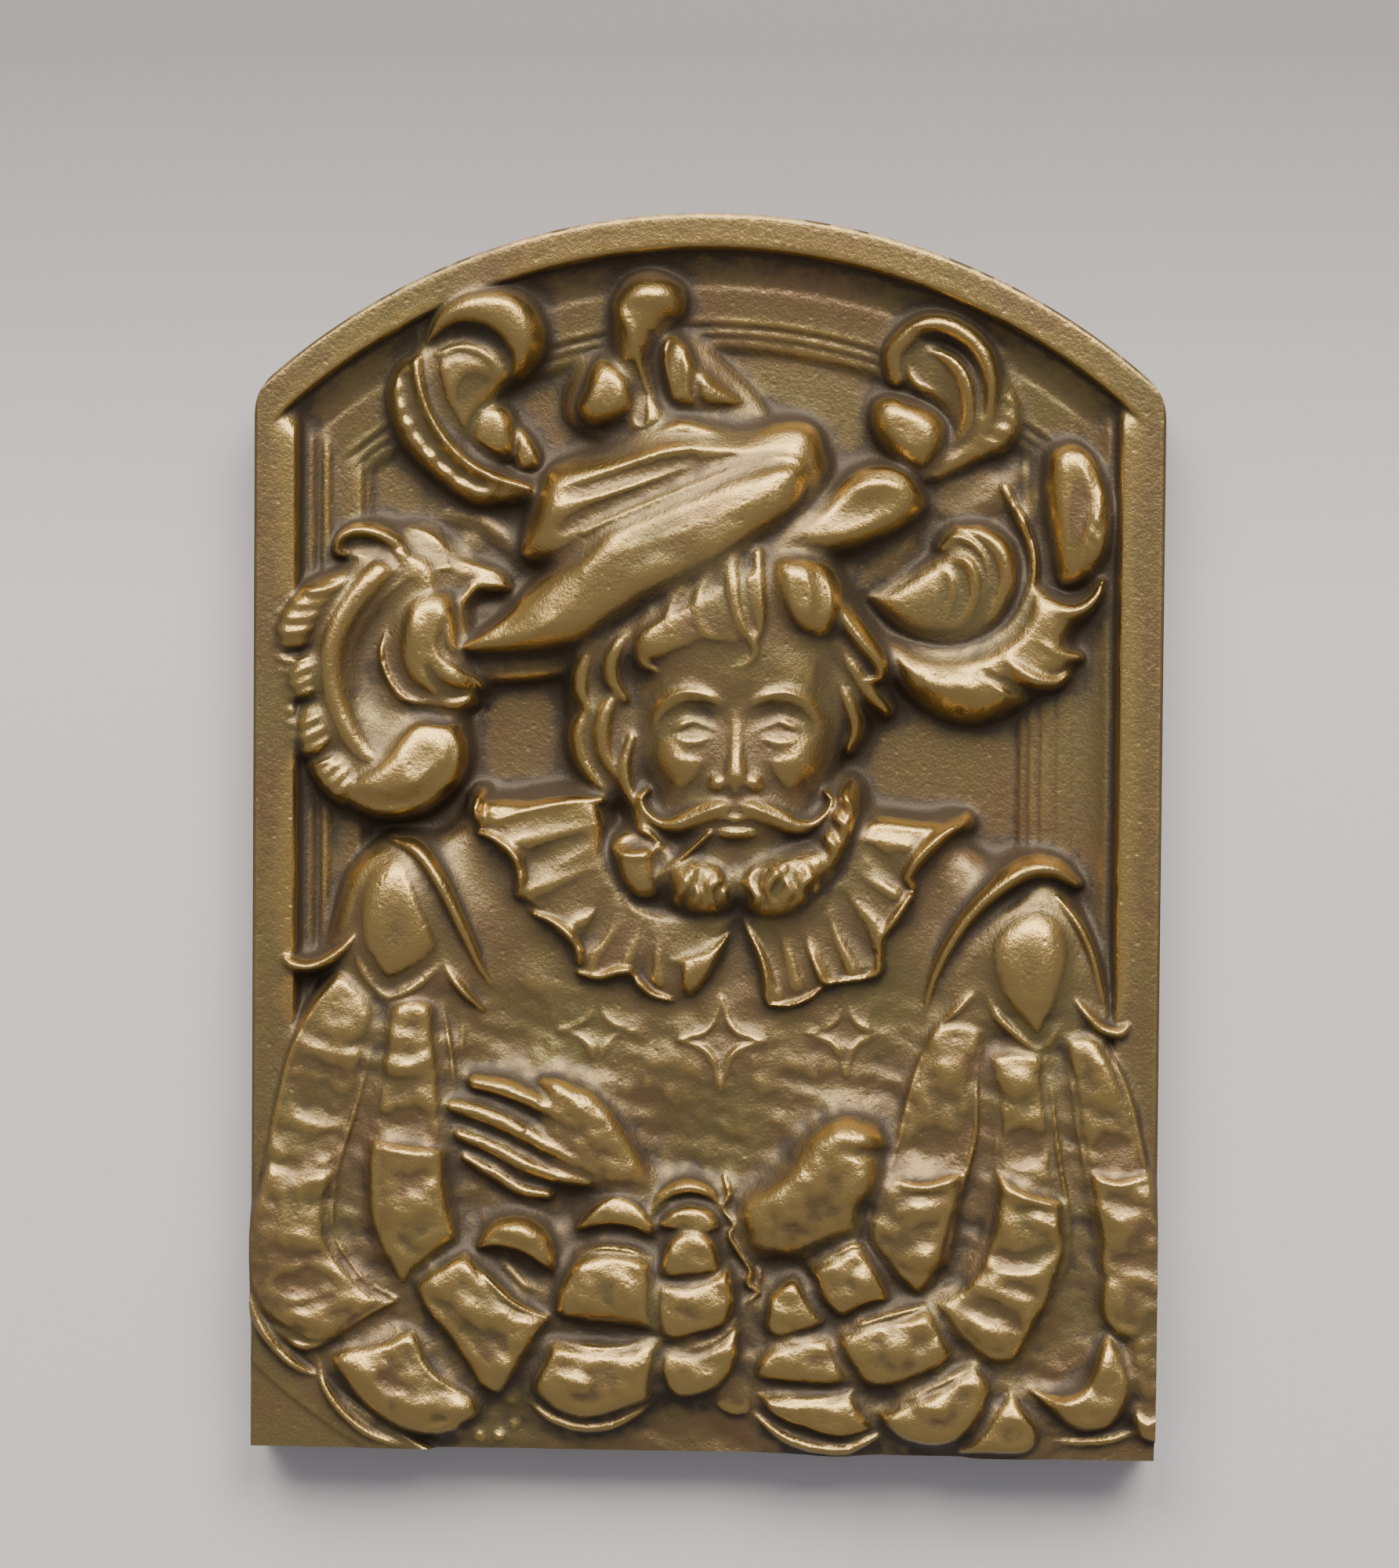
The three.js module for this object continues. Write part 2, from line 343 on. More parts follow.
function leftPlume(relief) {
  relief.slab([[-94, 234], [-88, 236], [-82, 235], [-77, 231], [-70, 227.5], [-67, 222], [-66, 214],
    [-63, 206], [-58, 198], [-58, 190], [-61, 186], [-60, 178], [-62, 170], [-67, 165.5], [-73, 161.8],
    [-80, 160], [-88, 161], [-94, 163.5], [-98, 167.5], [-101.5, 173], [-105, 179], [-105, 186],
    [-107, 192], [-108, 198], [-110, 204], [-111, 209], [-108.5, 215], [-104, 220.5], [-97, 223],
    [-91, 224.5], [-95.5, 228]], 15.6, 4, 8, 1.6);
  // outer lobes of the vane, from the tip down
  relief.slab([[-91, 225], [-97, 223.5], [-103, 221], [-108, 216], [-111, 209.5], [-110, 203.5],
    [-106, 201.5], [-100, 203], [-96, 209], [-91, 216], [-87, 221]], 20.5, 4.5, 10, 1.2, [-0.08, 0]);
  relief.slab([[-105.5, 202], [-108.5, 197], [-107, 192], [-103, 189], [-97.5, 190], [-95.5, 196],
    [-96, 203], [-100, 205]], 20, 4, 10, 1);
  relief.slab([[-103, 190], [-105.5, 185.5], [-105.5, 180], [-102.5, 174.5], [-97, 174], [-92, 179],
    [-93, 187], [-97, 191.5]], 19.5, 4, 10, 1);
  relief.slab([[-102, 175.5], [-100.5, 170], [-97, 165.5], [-92, 163], [-87, 166], [-86, 172], [-89, 178],
    [-95, 179]], 19.5, 4, 10, 1);
  relief.line([[-106, 202.5, 1.3, -1.5], [-100, 203.5, 1.5, -2.6], [-95, 207, 1.2, -1]]);
  relief.line([[-104, 190, 1.3, -1.5], [-98, 191.5, 1.5, -2.4], [-94, 195, 1.2, -1]]);
  relief.line([[-102, 175, 1.3, -1.5], [-96, 177.5, 1.5, -2.2], [-91, 183, 1.2, -1]]);
  // the smooth quill and its double rib
  relief.limb([[-78, 227.4, 3.2, 17], [-84.6, 221.6, 4.8, 20.4], [-91.4, 213, 5.4, 22],
    [-95, 204, 5.4, 22.4], [-95, 195, 5.2, 22], [-92.4, 186, 5.2, 21.5], [-87.6, 178, 5.4, 21],
    [-80, 172, 6, 20.5]], 12, 1.6, 0.6);
  relief.limb([[-66.6, 224.4, 1.2, 13.6], [-73, 223.2, 1.4, 15.6], [-79, 219.6, 1.5, 17.6],
    [-85, 213.4, 1.6, 18.6], [-89.4, 206, 1.7, 19], [-91.2, 198.8, 1.7, 19], [-90.8, 191.4, 1.7, 18.8],
    [-88.2, 184.4, 1.6, 18.2], [-84.2, 180, 1.5, 17.8], [-79.4, 178.8, 1.2, 17.4]], 11, 0.7);
  relief.line([[-76, 218.6, 3, -0.8], [-83, 210.4, 4, -2.6], [-86, 201, 4.6, -3.2],
    [-84.6, 192.6, 4.4, -2.8], [-80, 186.4, 3, -1.2]]);
  // inner vane: outer crisp ridge, the dome, and the hooked ridge beside the brim
  relief.slab([[-70, 220], [-76, 216], [-80, 209], [-80, 200], [-76, 193], [-69, 190], [-61, 190.4],
    [-57.4, 193.6], [-58, 198], [-61, 203], [-61.6, 210], [-64, 218]], 17.8, 5, 9, 2.4, [0, 0], 1.2);
  relief.limb([[-70, 218, 2, 16.4], [-73, 213, 4.4, 20], [-73.4, 207, 5, 20.8], [-72, 200.6, 4, 19.6],
    [-68.6, 195.4, 3, 18], [-63, 192.6, 1.8, 16.4]], 12, 1.6, 0.6);
  relief.limb([[-81.6, 208, 1.1, 16], [-82.6, 202.6, 1.4, 18], [-80.8, 196.6, 1.5, 18.6],
    [-77.4, 192, 1.5, 18.6], [-73.6, 190, 1.4, 18.2], [-69.6, 189.8, 1.0, 17]], 12, 0.7);
  relief.line([[-79.6, 208, 1.3, -0.6], [-79.8, 201, 1.7, -1.8], [-76.4, 195, 1.6, -1.8],
    [-71.4, 192.4, 1.3, -1.0]]);
  relief.limb([[-66.4, 213, 1.2, 16.6], [-69.4, 209.4, 1.6, 18.2], [-69.8, 204.4, 1.7, 18.4],
    [-67.4, 200.6, 1.7, 18], [-63.6, 198.2, 1.6, 17.6], [-59.6, 196.8, 1.4, 17], [-57.4, 194.6, 1.1, 16]],
    12, 1.4);
  relief.line([[-66.6, 210, 1.2, -1], [-67, 205, 1.5, -2.2], [-64.6, 201.4, 1.5, -2.0],
    [-60.6, 199.6, 1.2, -1]]);
  relief.line([[-70.6, 199, 1.4, -0.8], [-68, 195, 1.8, -2.2], [-63, 193, 1.8, -2.2],
    [-59.6, 193.4, 1.3, -1.2]]);
  relief.limb([[-60.4, 219.4, 1.4, 12.6], [-63, 214.6, 1.6, 14.4], [-62.2, 209, 1.6, 15.2],
    [-60.4, 203.6, 1.4, 15]], 11, 1.4);
  // bottom bulb, hollow on its inner side, with a rolled rim
  relief.slab([[-96, 167.5], [-93, 164], [-88, 161.3], [-80, 159.8], [-72, 161.6], [-66, 165.5],
    [-61.5, 171], [-60, 177], [-61.5, 183], [-66, 186.3], [-73, 187.5], [-79, 184], [-83, 179], [-89, 175]],
    20.6, 8, 9, 3.4, [0, -0.03]);
  relief.bump(-69.4, 177, 8, 9, -2.0, 20);
  relief.line([[-79, 188.8, 1.7, -1.4], [-72, 187.6, 2.2, -3.6], [-64, 186.6, 2, -3.6],
    [-58, 189, 1.6, -1.6]]);
  relief.line([[-91, 165, 1.5, 0.5], [-84, 162.4, 1.8, 1.4], [-75, 162.6, 1.8, 1.5], [-68, 165.6, 1.8, 1.6],
    [-63.4, 171.4, 1.7, 1.6], [-61.8, 178, 1.6, 1.6], [-64.4, 183.6, 1.7, 1.6], [-70.6, 184.8, 1.6, 1.0],
    [-74.6, 183, 1.3, 0.4]]);
  relief.line([[-88, 167, 1.8, -0.5], [-80, 165.4, 2.2, -1.4], [-72, 167.8, 2.2, -1.4],
    [-67, 173, 1.8, -0.6]]);
  // the curled tip
  relief.limb([[-76.5, 226, 2.2, 14], [-79, 230, 2.8, 16.5], [-84, 233, 2.8, 18], [-89.5, 233.6, 2.4, 18.5],
    [-93.4, 231.6, 1.8, 18.5], [-94.2, 228.6, 1.5, 18], [-92.3, 227.6, 1.2, 17]], 10);
  relief.line([[-90, 230, 2, -2], [-85, 229.5, 2.2, -3], [-80, 226, 2, -2]]);
  // low vanes toward the hat
  relief.slab([[-84, 233], [-76, 235.4], [-69, 233], [-64, 228], [-58, 226], [-52, 224], [-50, 219],
    [-58, 218], [-66, 219], [-76, 222], [-82, 228]], 12, 4, 7.6, 1.0, [0, 0], 2.0);
  relief.line([[-80, 235, 1.4, 0.8], [-73, 235, 1.7, 1.6], [-67, 231, 1.8, 1.7], [-61, 226.6, 1.8, 1.4],
    [-55, 224.6, 1.4, 0.6]]);
  relief.bump(-60.6, 231, 3.4, 4.6, 1.2);
  relief.line([[-66, 238, 2, 0.7], [-58, 236, 2.6, 1.6], [-50, 230, 2.4, 1.4], [-46, 224, 1.6, 0.5]]);
  relief.line([[-62, 217, 1.6, 0.6], [-57.4, 219.4, 2.2, 1.8], [-50, 218.6, 2, 1.2]]);
  relief.line([[-60, 212, 1.4, 0.8], [-56, 213.4, 1.8, 1.4], [-52, 212, 1.4, 0.6]]);
}

function hat(relief) {
  // crown, its smooth left side and three soft folds
  relief.slab([[-46, 226], [-47, 235], [-45, 241], [-41, 250], [-35, 252.6], [-28, 254.6], [-20, 258.2],
    [-12, 262.2], [-6, 264.2], [0, 262.8], [8, 260.8], [16, 262.2], [23, 262.6], [27.6, 260.4], [30, 254],
    [31, 249], [29, 242], [20, 232], [-20, 224]], 20.6, 8, 9, 2.2, [0.02, -0.05], 1.6);
  relief.bump(-40, 242, 7, 10, 1.2, 20);
  relief.line([[-42, 249, 2.8, 0.2], [-31, 252.6, 3.6, 0.9], [-19, 257.6, 3.8, 1.5], [-7, 262, 3.8, 1.6],
    [3, 260, 3.6, 1.0], [13, 260.6, 3.4, 0.9], [22, 261, 3, 0.9], [28, 256, 2.8, 0.8],
    [29.4, 249, 2.4, 0.3]]);
  relief.line([[-34, 249.6, 1.6, -0.4], [-23, 253, 2.2, -1.4], [-9, 257.4, 2.3, -1.6], [3, 257, 2, -0.8],
    [14, 257.6, 1.8, -0.2]]);
  relief.line([[-41, 245, 3, 0.3], [-29, 248.8, 3.4, 1.4], [-16, 252.6, 3.4, 1.6], [-5, 254.6, 3.0, 1.2],
    [5, 254.4, 2.2, 0.3]]);
  relief.line([[-37, 242.4, 1.6, -0.3], [-27, 245.2, 2, -1.3], [-15, 249, 2.2, -1.5],
    [-4, 252.2, 1.8, -0.8]]);
  relief.line([[-40, 238.4, 3, 0.3], [-29, 242, 3.2, 1.1], [-17, 246, 3.2, 1.3], [-6, 249.6, 2.6, 0.8]]);
  relief.line([[-37, 234.4, 1.8, -0.6], [-29, 238.2, 2.1, -1.6], [-17, 242.8, 2.1, -1.7],
    [-6, 247.4, 2, -1.3], [6, 251.8, 1.6, -0.6]]);
  // right tip of the brim
  relief.slab([[26.5, 241.5], [30, 244], [35, 248.5], [40, 251], [46, 251.3], [51.5, 249], [54.5, 243.5],
    [54.8, 240], [50.6, 235.4], [44, 231.8], [35, 228.2], [25, 225.5], [12, 223.8], [4, 221.5], [4, 226],
    [12, 232], [20, 238]], 21.5, 6, 10, 2.2, [-0.03, 0.0], 1.6, 0.5);
  relief.line([[28, 237, 3.6, -0.6], [37, 239.4, 5, -1.8], [46, 241.4, 4, -1.4], [51, 240.6, 3, -0.6]]);
  relief.line([[28.6, 242.2, 1.1, 0.8], [35.4, 247.8, 1.3, 1.3], [42, 250.2, 1.3, 1.4],
    [48.6, 248.8, 1.2, 1.0], [53, 243.4, 1.1, 0.6]]);
  // the turned-up front, one wide smooth roll with a thin bead along its top
  relief.slab([[-64, 203.5], [-57, 208.6], [-50.5, 213.4], [-46.5, 218.2], [-42.5, 221.8], [-36.5, 226.8],
    [-31.4, 231], [-30.6, 234], [-25.4, 237.6], [-15.3, 242], [-5.3, 246], [4.7, 250], [12, 252],
    [20, 253.3], [24, 252.6], [26, 249], [26, 242], [22, 236], [14, 230], [6, 222.5], [-4.6, 218],
    [-14.8, 213.6], [-25, 207.4], [-30, 204.4], [-38, 202.8], [-47, 202], [-56, 202]], 25.4, 7, 11, 2.6,
    [0.03, 0.035], 1.2, 0.5);
  relief.line([[-31, 233.2, 1.1, 0.8], [-25, 236, 1.4, 1.5], [-15, 240.4, 1.5, 1.8], [-5, 244.4, 1.5, 1.8],
    [5, 248.4, 1.4, 1.6], [12, 250.5, 1.3, 1.3], [18.6, 252, 1.2, 1.1], [23.2, 251.2, 1.1, 0.9],
    [24.8, 246.4, 1, 0.6], [24.2, 241, 0.9, 0.2]]);
  relief.line([[-27, 230.4, 2.6, -0.3], [-15, 235.2, 3.6, -1.0], [-3, 239.8, 3.8, -1.2],
    [9, 244.8, 3.4, -0.8], [16, 247, 2.6, -0.3]]);
  relief.line([[-63, 204.6, 1.2, 0.6], [-56, 208.3, 1.5, 1.3], [-50, 212.8, 1.6, 1.5],
    [-46, 217.6, 1.6, 1.5], [-42, 221.2, 1.6, 1.3], [-37, 225.4, 1.5, 1.0], [-33, 229, 1.2, 0.4]]);
  relief.line([[-55, 205.2, 1.8, -0.5], [-48, 209.4, 3, -1.3], [-41, 215, 3.6, -1.3],
    [-34, 221.4, 3.2, -0.8]]);
  relief.bump(20, 244, 5, 5, -0.8, 0);
  relief.bump(4, 231, 9, 6, 0.7, 20);
  // under side of the brim on the left
  relief.slab([[-57, 203], [-40, 204], [-28, 207], [-23.5, 203], [-26, 199.4], [-38, 196.4], [-50, 195],
    [-58, 196]], 13, 3, 8, 0.6, [0, 0], 2);
}

function head(relief) {
  // hair behind, then the egg of the head
  relief.slab([[-34, 205], [-36, 194], [-35, 184], [-32, 175], [-27, 168], [-20, 165], [-8, 180], [-8, 205],
    [-20, 212], [-30, 210]], 15, 6, 8, 1.6, [0.05, 0], 2.0);
  relief.slab([[28, 215], [34, 216], [40, 210], [44, 203], [44, 196], [40, 190], [36, 184], [30, 190]],
    14.5, 5, 8, 1.2, [0, 0], 2.0);
  relief.slab([[-19, 210], [-20.5, 200], [-20, 190], [-18, 178], [-15, 168], [-11, 158], [-5, 149],
    [2, 143.5], [8, 142], [14, 143.5], [21, 149], [27, 158], [31, 168], [34, 178], [36, 190], [36.5, 200],
    [35, 210], [28, 222], [8, 230], [-12, 222]], 23.2, 15, 10, 2.4, [0, 0], 1.6, 0.55);
}

function face(relief) {
  const [middle, chin, tall, wide] = [8.0, 146.0, 79.0, 54.0];
  const eye = wide / 5;
  const third = tall * 0.87 / 3;
  const [eyes, brow, nose, mouth] = [chin + tall / 2, chin + 2 * third, chin + third, chin + third * 0.66];
  relief.bump(middle, brow + 10, 19, 13, 1.2);
  for (const side of [-1, 1]) {
    const eyeX = middle + side * eye;
    relief.bump(eyeX, eyes + 1.0, eye * 0.92, 7.6, -3.0, -side * 6);
    relief.bump(eyeX - side * 3, eyes + 2, 4.5, 4.5, -1.4);
    relief.bump(eyeX, eyes - 0.6, eye * 0.7, 5.0, 2.4);
    relief.bump(eyeX, eyes - 0.8, 2.1, 2.1, -1.2);
    relief.bump(middle + side * 15.5, nose + 7.0, 9, 8, 2.4, -side * 25);
    relief.bump(middle + side * 19.5, mouth + 6.0, 7, 10, -1.4, -side * 15);
    relief.bump(middle + side * 24, brow + 3, 6, 11, -1.8);
    // brow
    relief.line([[middle + side * 3.2, brow - 3.2, 2.0, 0.6], [middle + side * 7.5, brow - 0.4, 2.8, 1.9],
      [middle + side * 13.5, brow + 0.4, 2.8, 1.9], [middle + side * 19.5, brow - 2.6, 2.2, 1.2],
      [middle + side * 22.5, brow - 5.6, 1.6, 0.3]]);
    // lids: the upper one half lowered, a crease over it and the rim of the lower one
    relief.line([[eyeX - side * 6.2, eyes - 2.0, 0.8, 0.2], [eyeX - side * 3.2, eyes - 0.2, 1.2, 1.0],
      [eyeX, eyes + 0.4, 1.3, 1.2], [eyeX + side * 3.4, eyes - 0.3, 1.2, 1.0],
      [eyeX + side * 6.4, eyes - 2.4, 0.8, 0.2]]);
    // wing of the nose and the fold from it to the mouth
    relief.bump(middle + side * 4.6, nose + 2.0, 3.6, 3.4, 3.2);
    relief.line([[middle + side * 7.2, nose + 4.6, 1.6, -0.5], [middle + side * 10, nose - 0.5, 2.2, -1.5],
      [middle + side * 13.4, nose - 5.5, 1.8, -0.8]]);
    relief.bump(middle + side * 2.9, nose - 0.7, 1.6, 1.0, -2.0);
  }
  relief.limb([[middle, brow + 2, 3.4, 24.6], [middle, eyes + 3, 3.0, 25.4], [middle, eyes - 5, 3.6, 27.4],
    [middle, nose + 7, 4.2, 29.0], [middle, nose + 3.4, 4.8, 29.8], [middle, nose + 0.8, 3.8, 28.0]], 20,
    2.2, 0.6);
  // lips
  relief.bump(middle, mouth - 0.6, 10.5, 4.4, 1.4);
  relief.line([[middle - 8, mouth - 0.4, 1, 0.2], [middle - 3.6, mouth + 1.2, 1.5, 1.2],
    [middle, mouth + 0.8, 1.4, 1.0], [middle + 3.6, mouth + 1.2, 1.5, 1.2],
    [middle + 8, mouth - 0.4, 1, 0.2]]);
  relief.line([[middle - 8.4, mouth - 0.9, 0.8, -0.5], [middle - 3.4, mouth - 0.5, 1, -1.5],
    [middle, mouth - 0.9, 1, -1.5], [middle + 3.4, mouth - 0.5, 1, -1.5],
    [middle + 8.4, mouth - 0.9, 0.8, -0.5]]);
  relief.bump(middle, mouth - 3.2, 7.4, 2.5, 1.9);
  relief.line([[middle - 5, mouth - 5.6, 1.4, -0.5], [middle, mouth - 6.2, 1.8, -1.2],
    [middle + 5, mouth - 5.6, 1.4, -0.5]]);
}

function hairAndBeard(relief) {
  // masses under the brim: left of the forehead and the big curl on the right
  relief.slab([[-19, 208], [-12, 214], [-4, 218], [6, 224], [16, 226], [16.6, 214], [13, 207], [9, 202],
    [4, 204], [0, 204], [-6, 202], [-12, 200], [-17, 201]], 26.4, 3.4, 16, 1.8, [0.05, 0], 1.4);
  relief.slab([[15.6, 229], [14.8, 220], [16.6, 212.4], [21, 207.6], [28, 205], [33, 208], [35.6, 215],
    [34, 223], [28, 229]], 26.8, 7, 14, 3.8, [-0.05, 0], 1.4);
  relief.line([[27, 226, 1.6, -0.6], [29, 217, 2, -1.5], [27, 209, 1.5, -0.9]]);
  // the forelock, two waves that meet in a point
  relief.limb([[6, 228, 4.2, 27], [7, 219.6, 5.2, 29.2], [8.6, 212, 4.6, 29.6], [11.6, 207.4, 3.2, 29.2],
    [12.6, 203.4, 2.0, 28.4], [10, 200.4, 1.2, 27.2], [7, 200.2, 0.8, 26.4]], 18, 1.6, 0.6);
  relief.limb([[13, 228, 3, 26.6], [13.6, 219, 3.4, 28.8], [14, 212, 2.8, 28.8], [13, 206, 1.8, 28]], 18,
    1.6, 0.6);
  // curls on the left of it, lying on the mass
  relief.limb([[1, 223, 2.6, 26], [-1.6, 216.4, 3.6, 27.8], [-0.8, 210, 3.2, 28.2], [3.4, 206.8, 2.2, 27.8],
    [6.4, 208.6, 1.3, 27.2]], 18, 1.6, 0.6);
  relief.limb([[-6, 219, 2.8, 25], [-9, 212.6, 3.8, 26.6], [-7.4, 207, 3.0, 27], [-3.4, 204.8, 1.8, 26.6]],
    17, 1.8, 0.6);
  relief.limb([[-13, 213.6, 2.8, 23], [-16, 207.4, 3.8, 24.8], [-15.6, 201.6, 3.0, 24.8],
    [-12, 198.8, 1.6, 24.2]], 15, 1.8, 0.6);
  // side locks: right, hooked inwards, then the waves behind
  relief.limb([[31, 220, 3.2, 22], [34.8, 212.4, 3.8, 24.4], [39, 206.8, 3.8, 24], [43, 202, 3.2, 22.6],
    [44, 198, 2, 20.8], [40.6, 196.6, 1.4, 19.8]], 12, 1.4, 0.6);
  relief.limb([[33, 206, 3.4, 20.5], [37, 200, 4.2, 21], [41, 194, 3.4, 19.4], [45.4, 189.4, 1.8, 16.8]],
    11, 1.6, 0.6);
  relief.limb([[32.4, 199, 3.4, 19.5], [35.6, 192, 3.8, 20], [37.6, 185, 2.8, 18], [36, 179.6, 1.6, 16.4]],
    11, 1.6, 0.6);
  // left side: waves from the brim past the ear
  relief.limb([[-17, 210, 3, 22], [-22.6, 204, 4, 23], [-23.6, 197, 3.6, 22], [-20.4, 191.6, 2, 20.6]], 13,
    1.8, 0.6);
  relief.limb([[-25, 209, 3, 19.4], [-30, 202, 4, 20], [-31.6, 194.6, 3.6, 19.4],
    [-29.4, 188.4, 2.2, 18.2]], 11, 1.8, 0.6);
  relief.limb([[-22, 194, 2.6, 19.6], [-25.6, 187, 4, 20.4], [-25.6, 178.6, 3.6, 20],
    [-21.6, 171, 2, 18.6]], 12, 1.8, 0.6);
  relief.limb([[-29, 191, 2.6, 17.4], [-32, 183, 3.6, 18], [-30.4, 175, 3.2, 17.6], [-26, 168.6, 2, 16.4]],
    10, 1.8, 0.6);
  relief.limb([[-18.6, 182, 2.4, 20], [-20.4, 174, 3.2, 20.6], [-18.2, 166, 2.6, 20],
    [-14, 160.6, 1.8, 19.6]], 12, 1.8, 0.6);
  // beard: along the jaw, then two full lobes at the chin and the right cheek
  relief.slab([[-18, 170], [-19.4, 162], [-16, 153], [-10, 147], [-10, 140], [-4, 136.6], [2, 136.4],
    [8, 140], [12, 136.6], [18, 135.2], [25, 137.4], [30, 142], [36, 150], [39, 159], [39.4, 168],
    [36.4, 172], [33, 166], [29, 158], [22, 153], [8, 151.4], [-4, 153], [-10, 158], [-13.6, 166]], 23.6, 6,
    13, 1.6, [0.02, 0], 2.0);
  relief.slab([[-10.4, 150], [-10, 143.4], [-6, 138], [0, 136.2], [5.6, 137.6], [8.2, 141.6], [8.4, 147],
    [5.6, 151], [0, 153.2], [-6, 153]], 25, 6, 16, 2.4, [0, 0], 1.4);
  relief.slab([[8.4, 147], [8.8, 141], [12, 136.8], [17.4, 135.2], [23.6, 136.8], [28.8, 141], [32.4, 147],
    [34, 153], [30, 156], [22, 155], [14, 153.6], [9.6, 151]], 25.4, 6, 16, 2.4, [0, 0], 1.4);
  relief.slab([[26, 152], [29, 146], [34, 149], [38, 156], [39.6, 163], [38, 169.6], [34.4, 170.6],
    [31.4, 164], [28, 157]], 23, 5, 14, 1.8, [0, 0], 1.4);
  for (const [x, z, lean] of [
    [-6, 148.4, 0.8],
    [-2, 150.4, -0.7],
    [2.4, 150.6, 0.8],
    [6, 148, -0.6],
    [12.6, 149.6, -0.8],
    [16.8, 151.4, 0.7],
    [21, 151.8, -0.8],
    [25.4, 151, 0.8],
    [29, 149.4, -0.5],
  ]) {
    relief.line([[x, z, 0.8, 0.4], [x + 1.7 * lean, z - 3.2, 1.5, 1.5], [x - 1.3 * lean, z - 7, 1.5, 1.5],
      [x + 1.0 * lean, z - 10.6, 0.9, 0.5]]);
    relief.line([[x + 2.1, z - 0.6, 0.7, -0.4], [x + 2.1 + 1.7 * lean, z - 4, 1.0, -1.5],
      [x + 2.1 - 1.3 * lean, z - 8, 1.0, -1.3], [x + 2.1 + lean, z - 11, 0.6, -0.3]]);
  }
  for (const [x, z] of [
    [30.4, 154.4],
    [33.2, 159.6],
    [34.6, 165],
  ]) {
    relief.line([[x - 3, z + 2.4, 0.8, 0.4], [x, z + 3, 1.4, 1.5], [x + 2.8, z, 1.4, 1.5],
      [x + 2, z - 3.6, 0.9, 0.5]]);
    relief.line([[x - 2.6, z - 0.4, 0.7, -0.4], [x - 0.2, z + 0.4, 1.0, -1.5],
      [x + 0.4, z - 2.6, 0.8, -0.6]]);
  }
  for (const side of [-1, 1]) {
    // moustache, two full sweeps with turned-up ends
    relief.limb([[8 + side * 1, 165.2, 2.6, 27], [8 + side * 4.5, 164.4, 4.4, 29],
      [8 + side * 9.5, 162.4, 4.2, 28.2], [8 + side * 15, 160.2, 3.0, 26.2],
      [8 + side * 19.5, 160.6, 2.0, 24], [8 + side * 23, 163.4, 1.6, 23], [8 + side * 24, 166.6, 1.3, 22.4],
      [8 + side * 22.4, 168.6, 0.9, 21.8]], 17, 1.2);
  }
  // pipe: stem, bowl with its rim, and the stub under it
  relief.limb([[-12, 146.6, 2.0, 23.5], [-8, 149.6, 1.8, 24.8], [-3, 154, 1.6, 26], [1.6, 158.4, 1.6, 27]],
    16, 1.0);
  relief.slab([[-24.4, 154.6], [-23.4, 149], [-21, 143.5], [-17, 140.2], [-12, 140.8], [-9.4, 144.6],
    [-10.6, 150], [-11, 155], [-14.4, 158], [-20.6, 158.4]], 23.5, 5.5, 13, 1.8, [0, 0], 1.2);
  relief.limb([[-20.4, 141.6, 1.3, 20], [-17.4, 138, 1.5, 20.4], [-12, 136.2, 1.2, 18.6]], 12, 1.2);
  relief.bump(-17.6, 155.2, 5.4, 2.3, -3.0, 4);
  relief.line([[-24, 155.2, 1, 1], [-20.4, 158.2, 1.1, 1.5], [-14.6, 158.2, 1.1, 1.5], [-11, 155.2, 1, 1.3],
    [-14.6, 152.4, 1, 1], [-20.6, 152.4, 1, 1], [-24, 155.2, 1, 1]]);
}

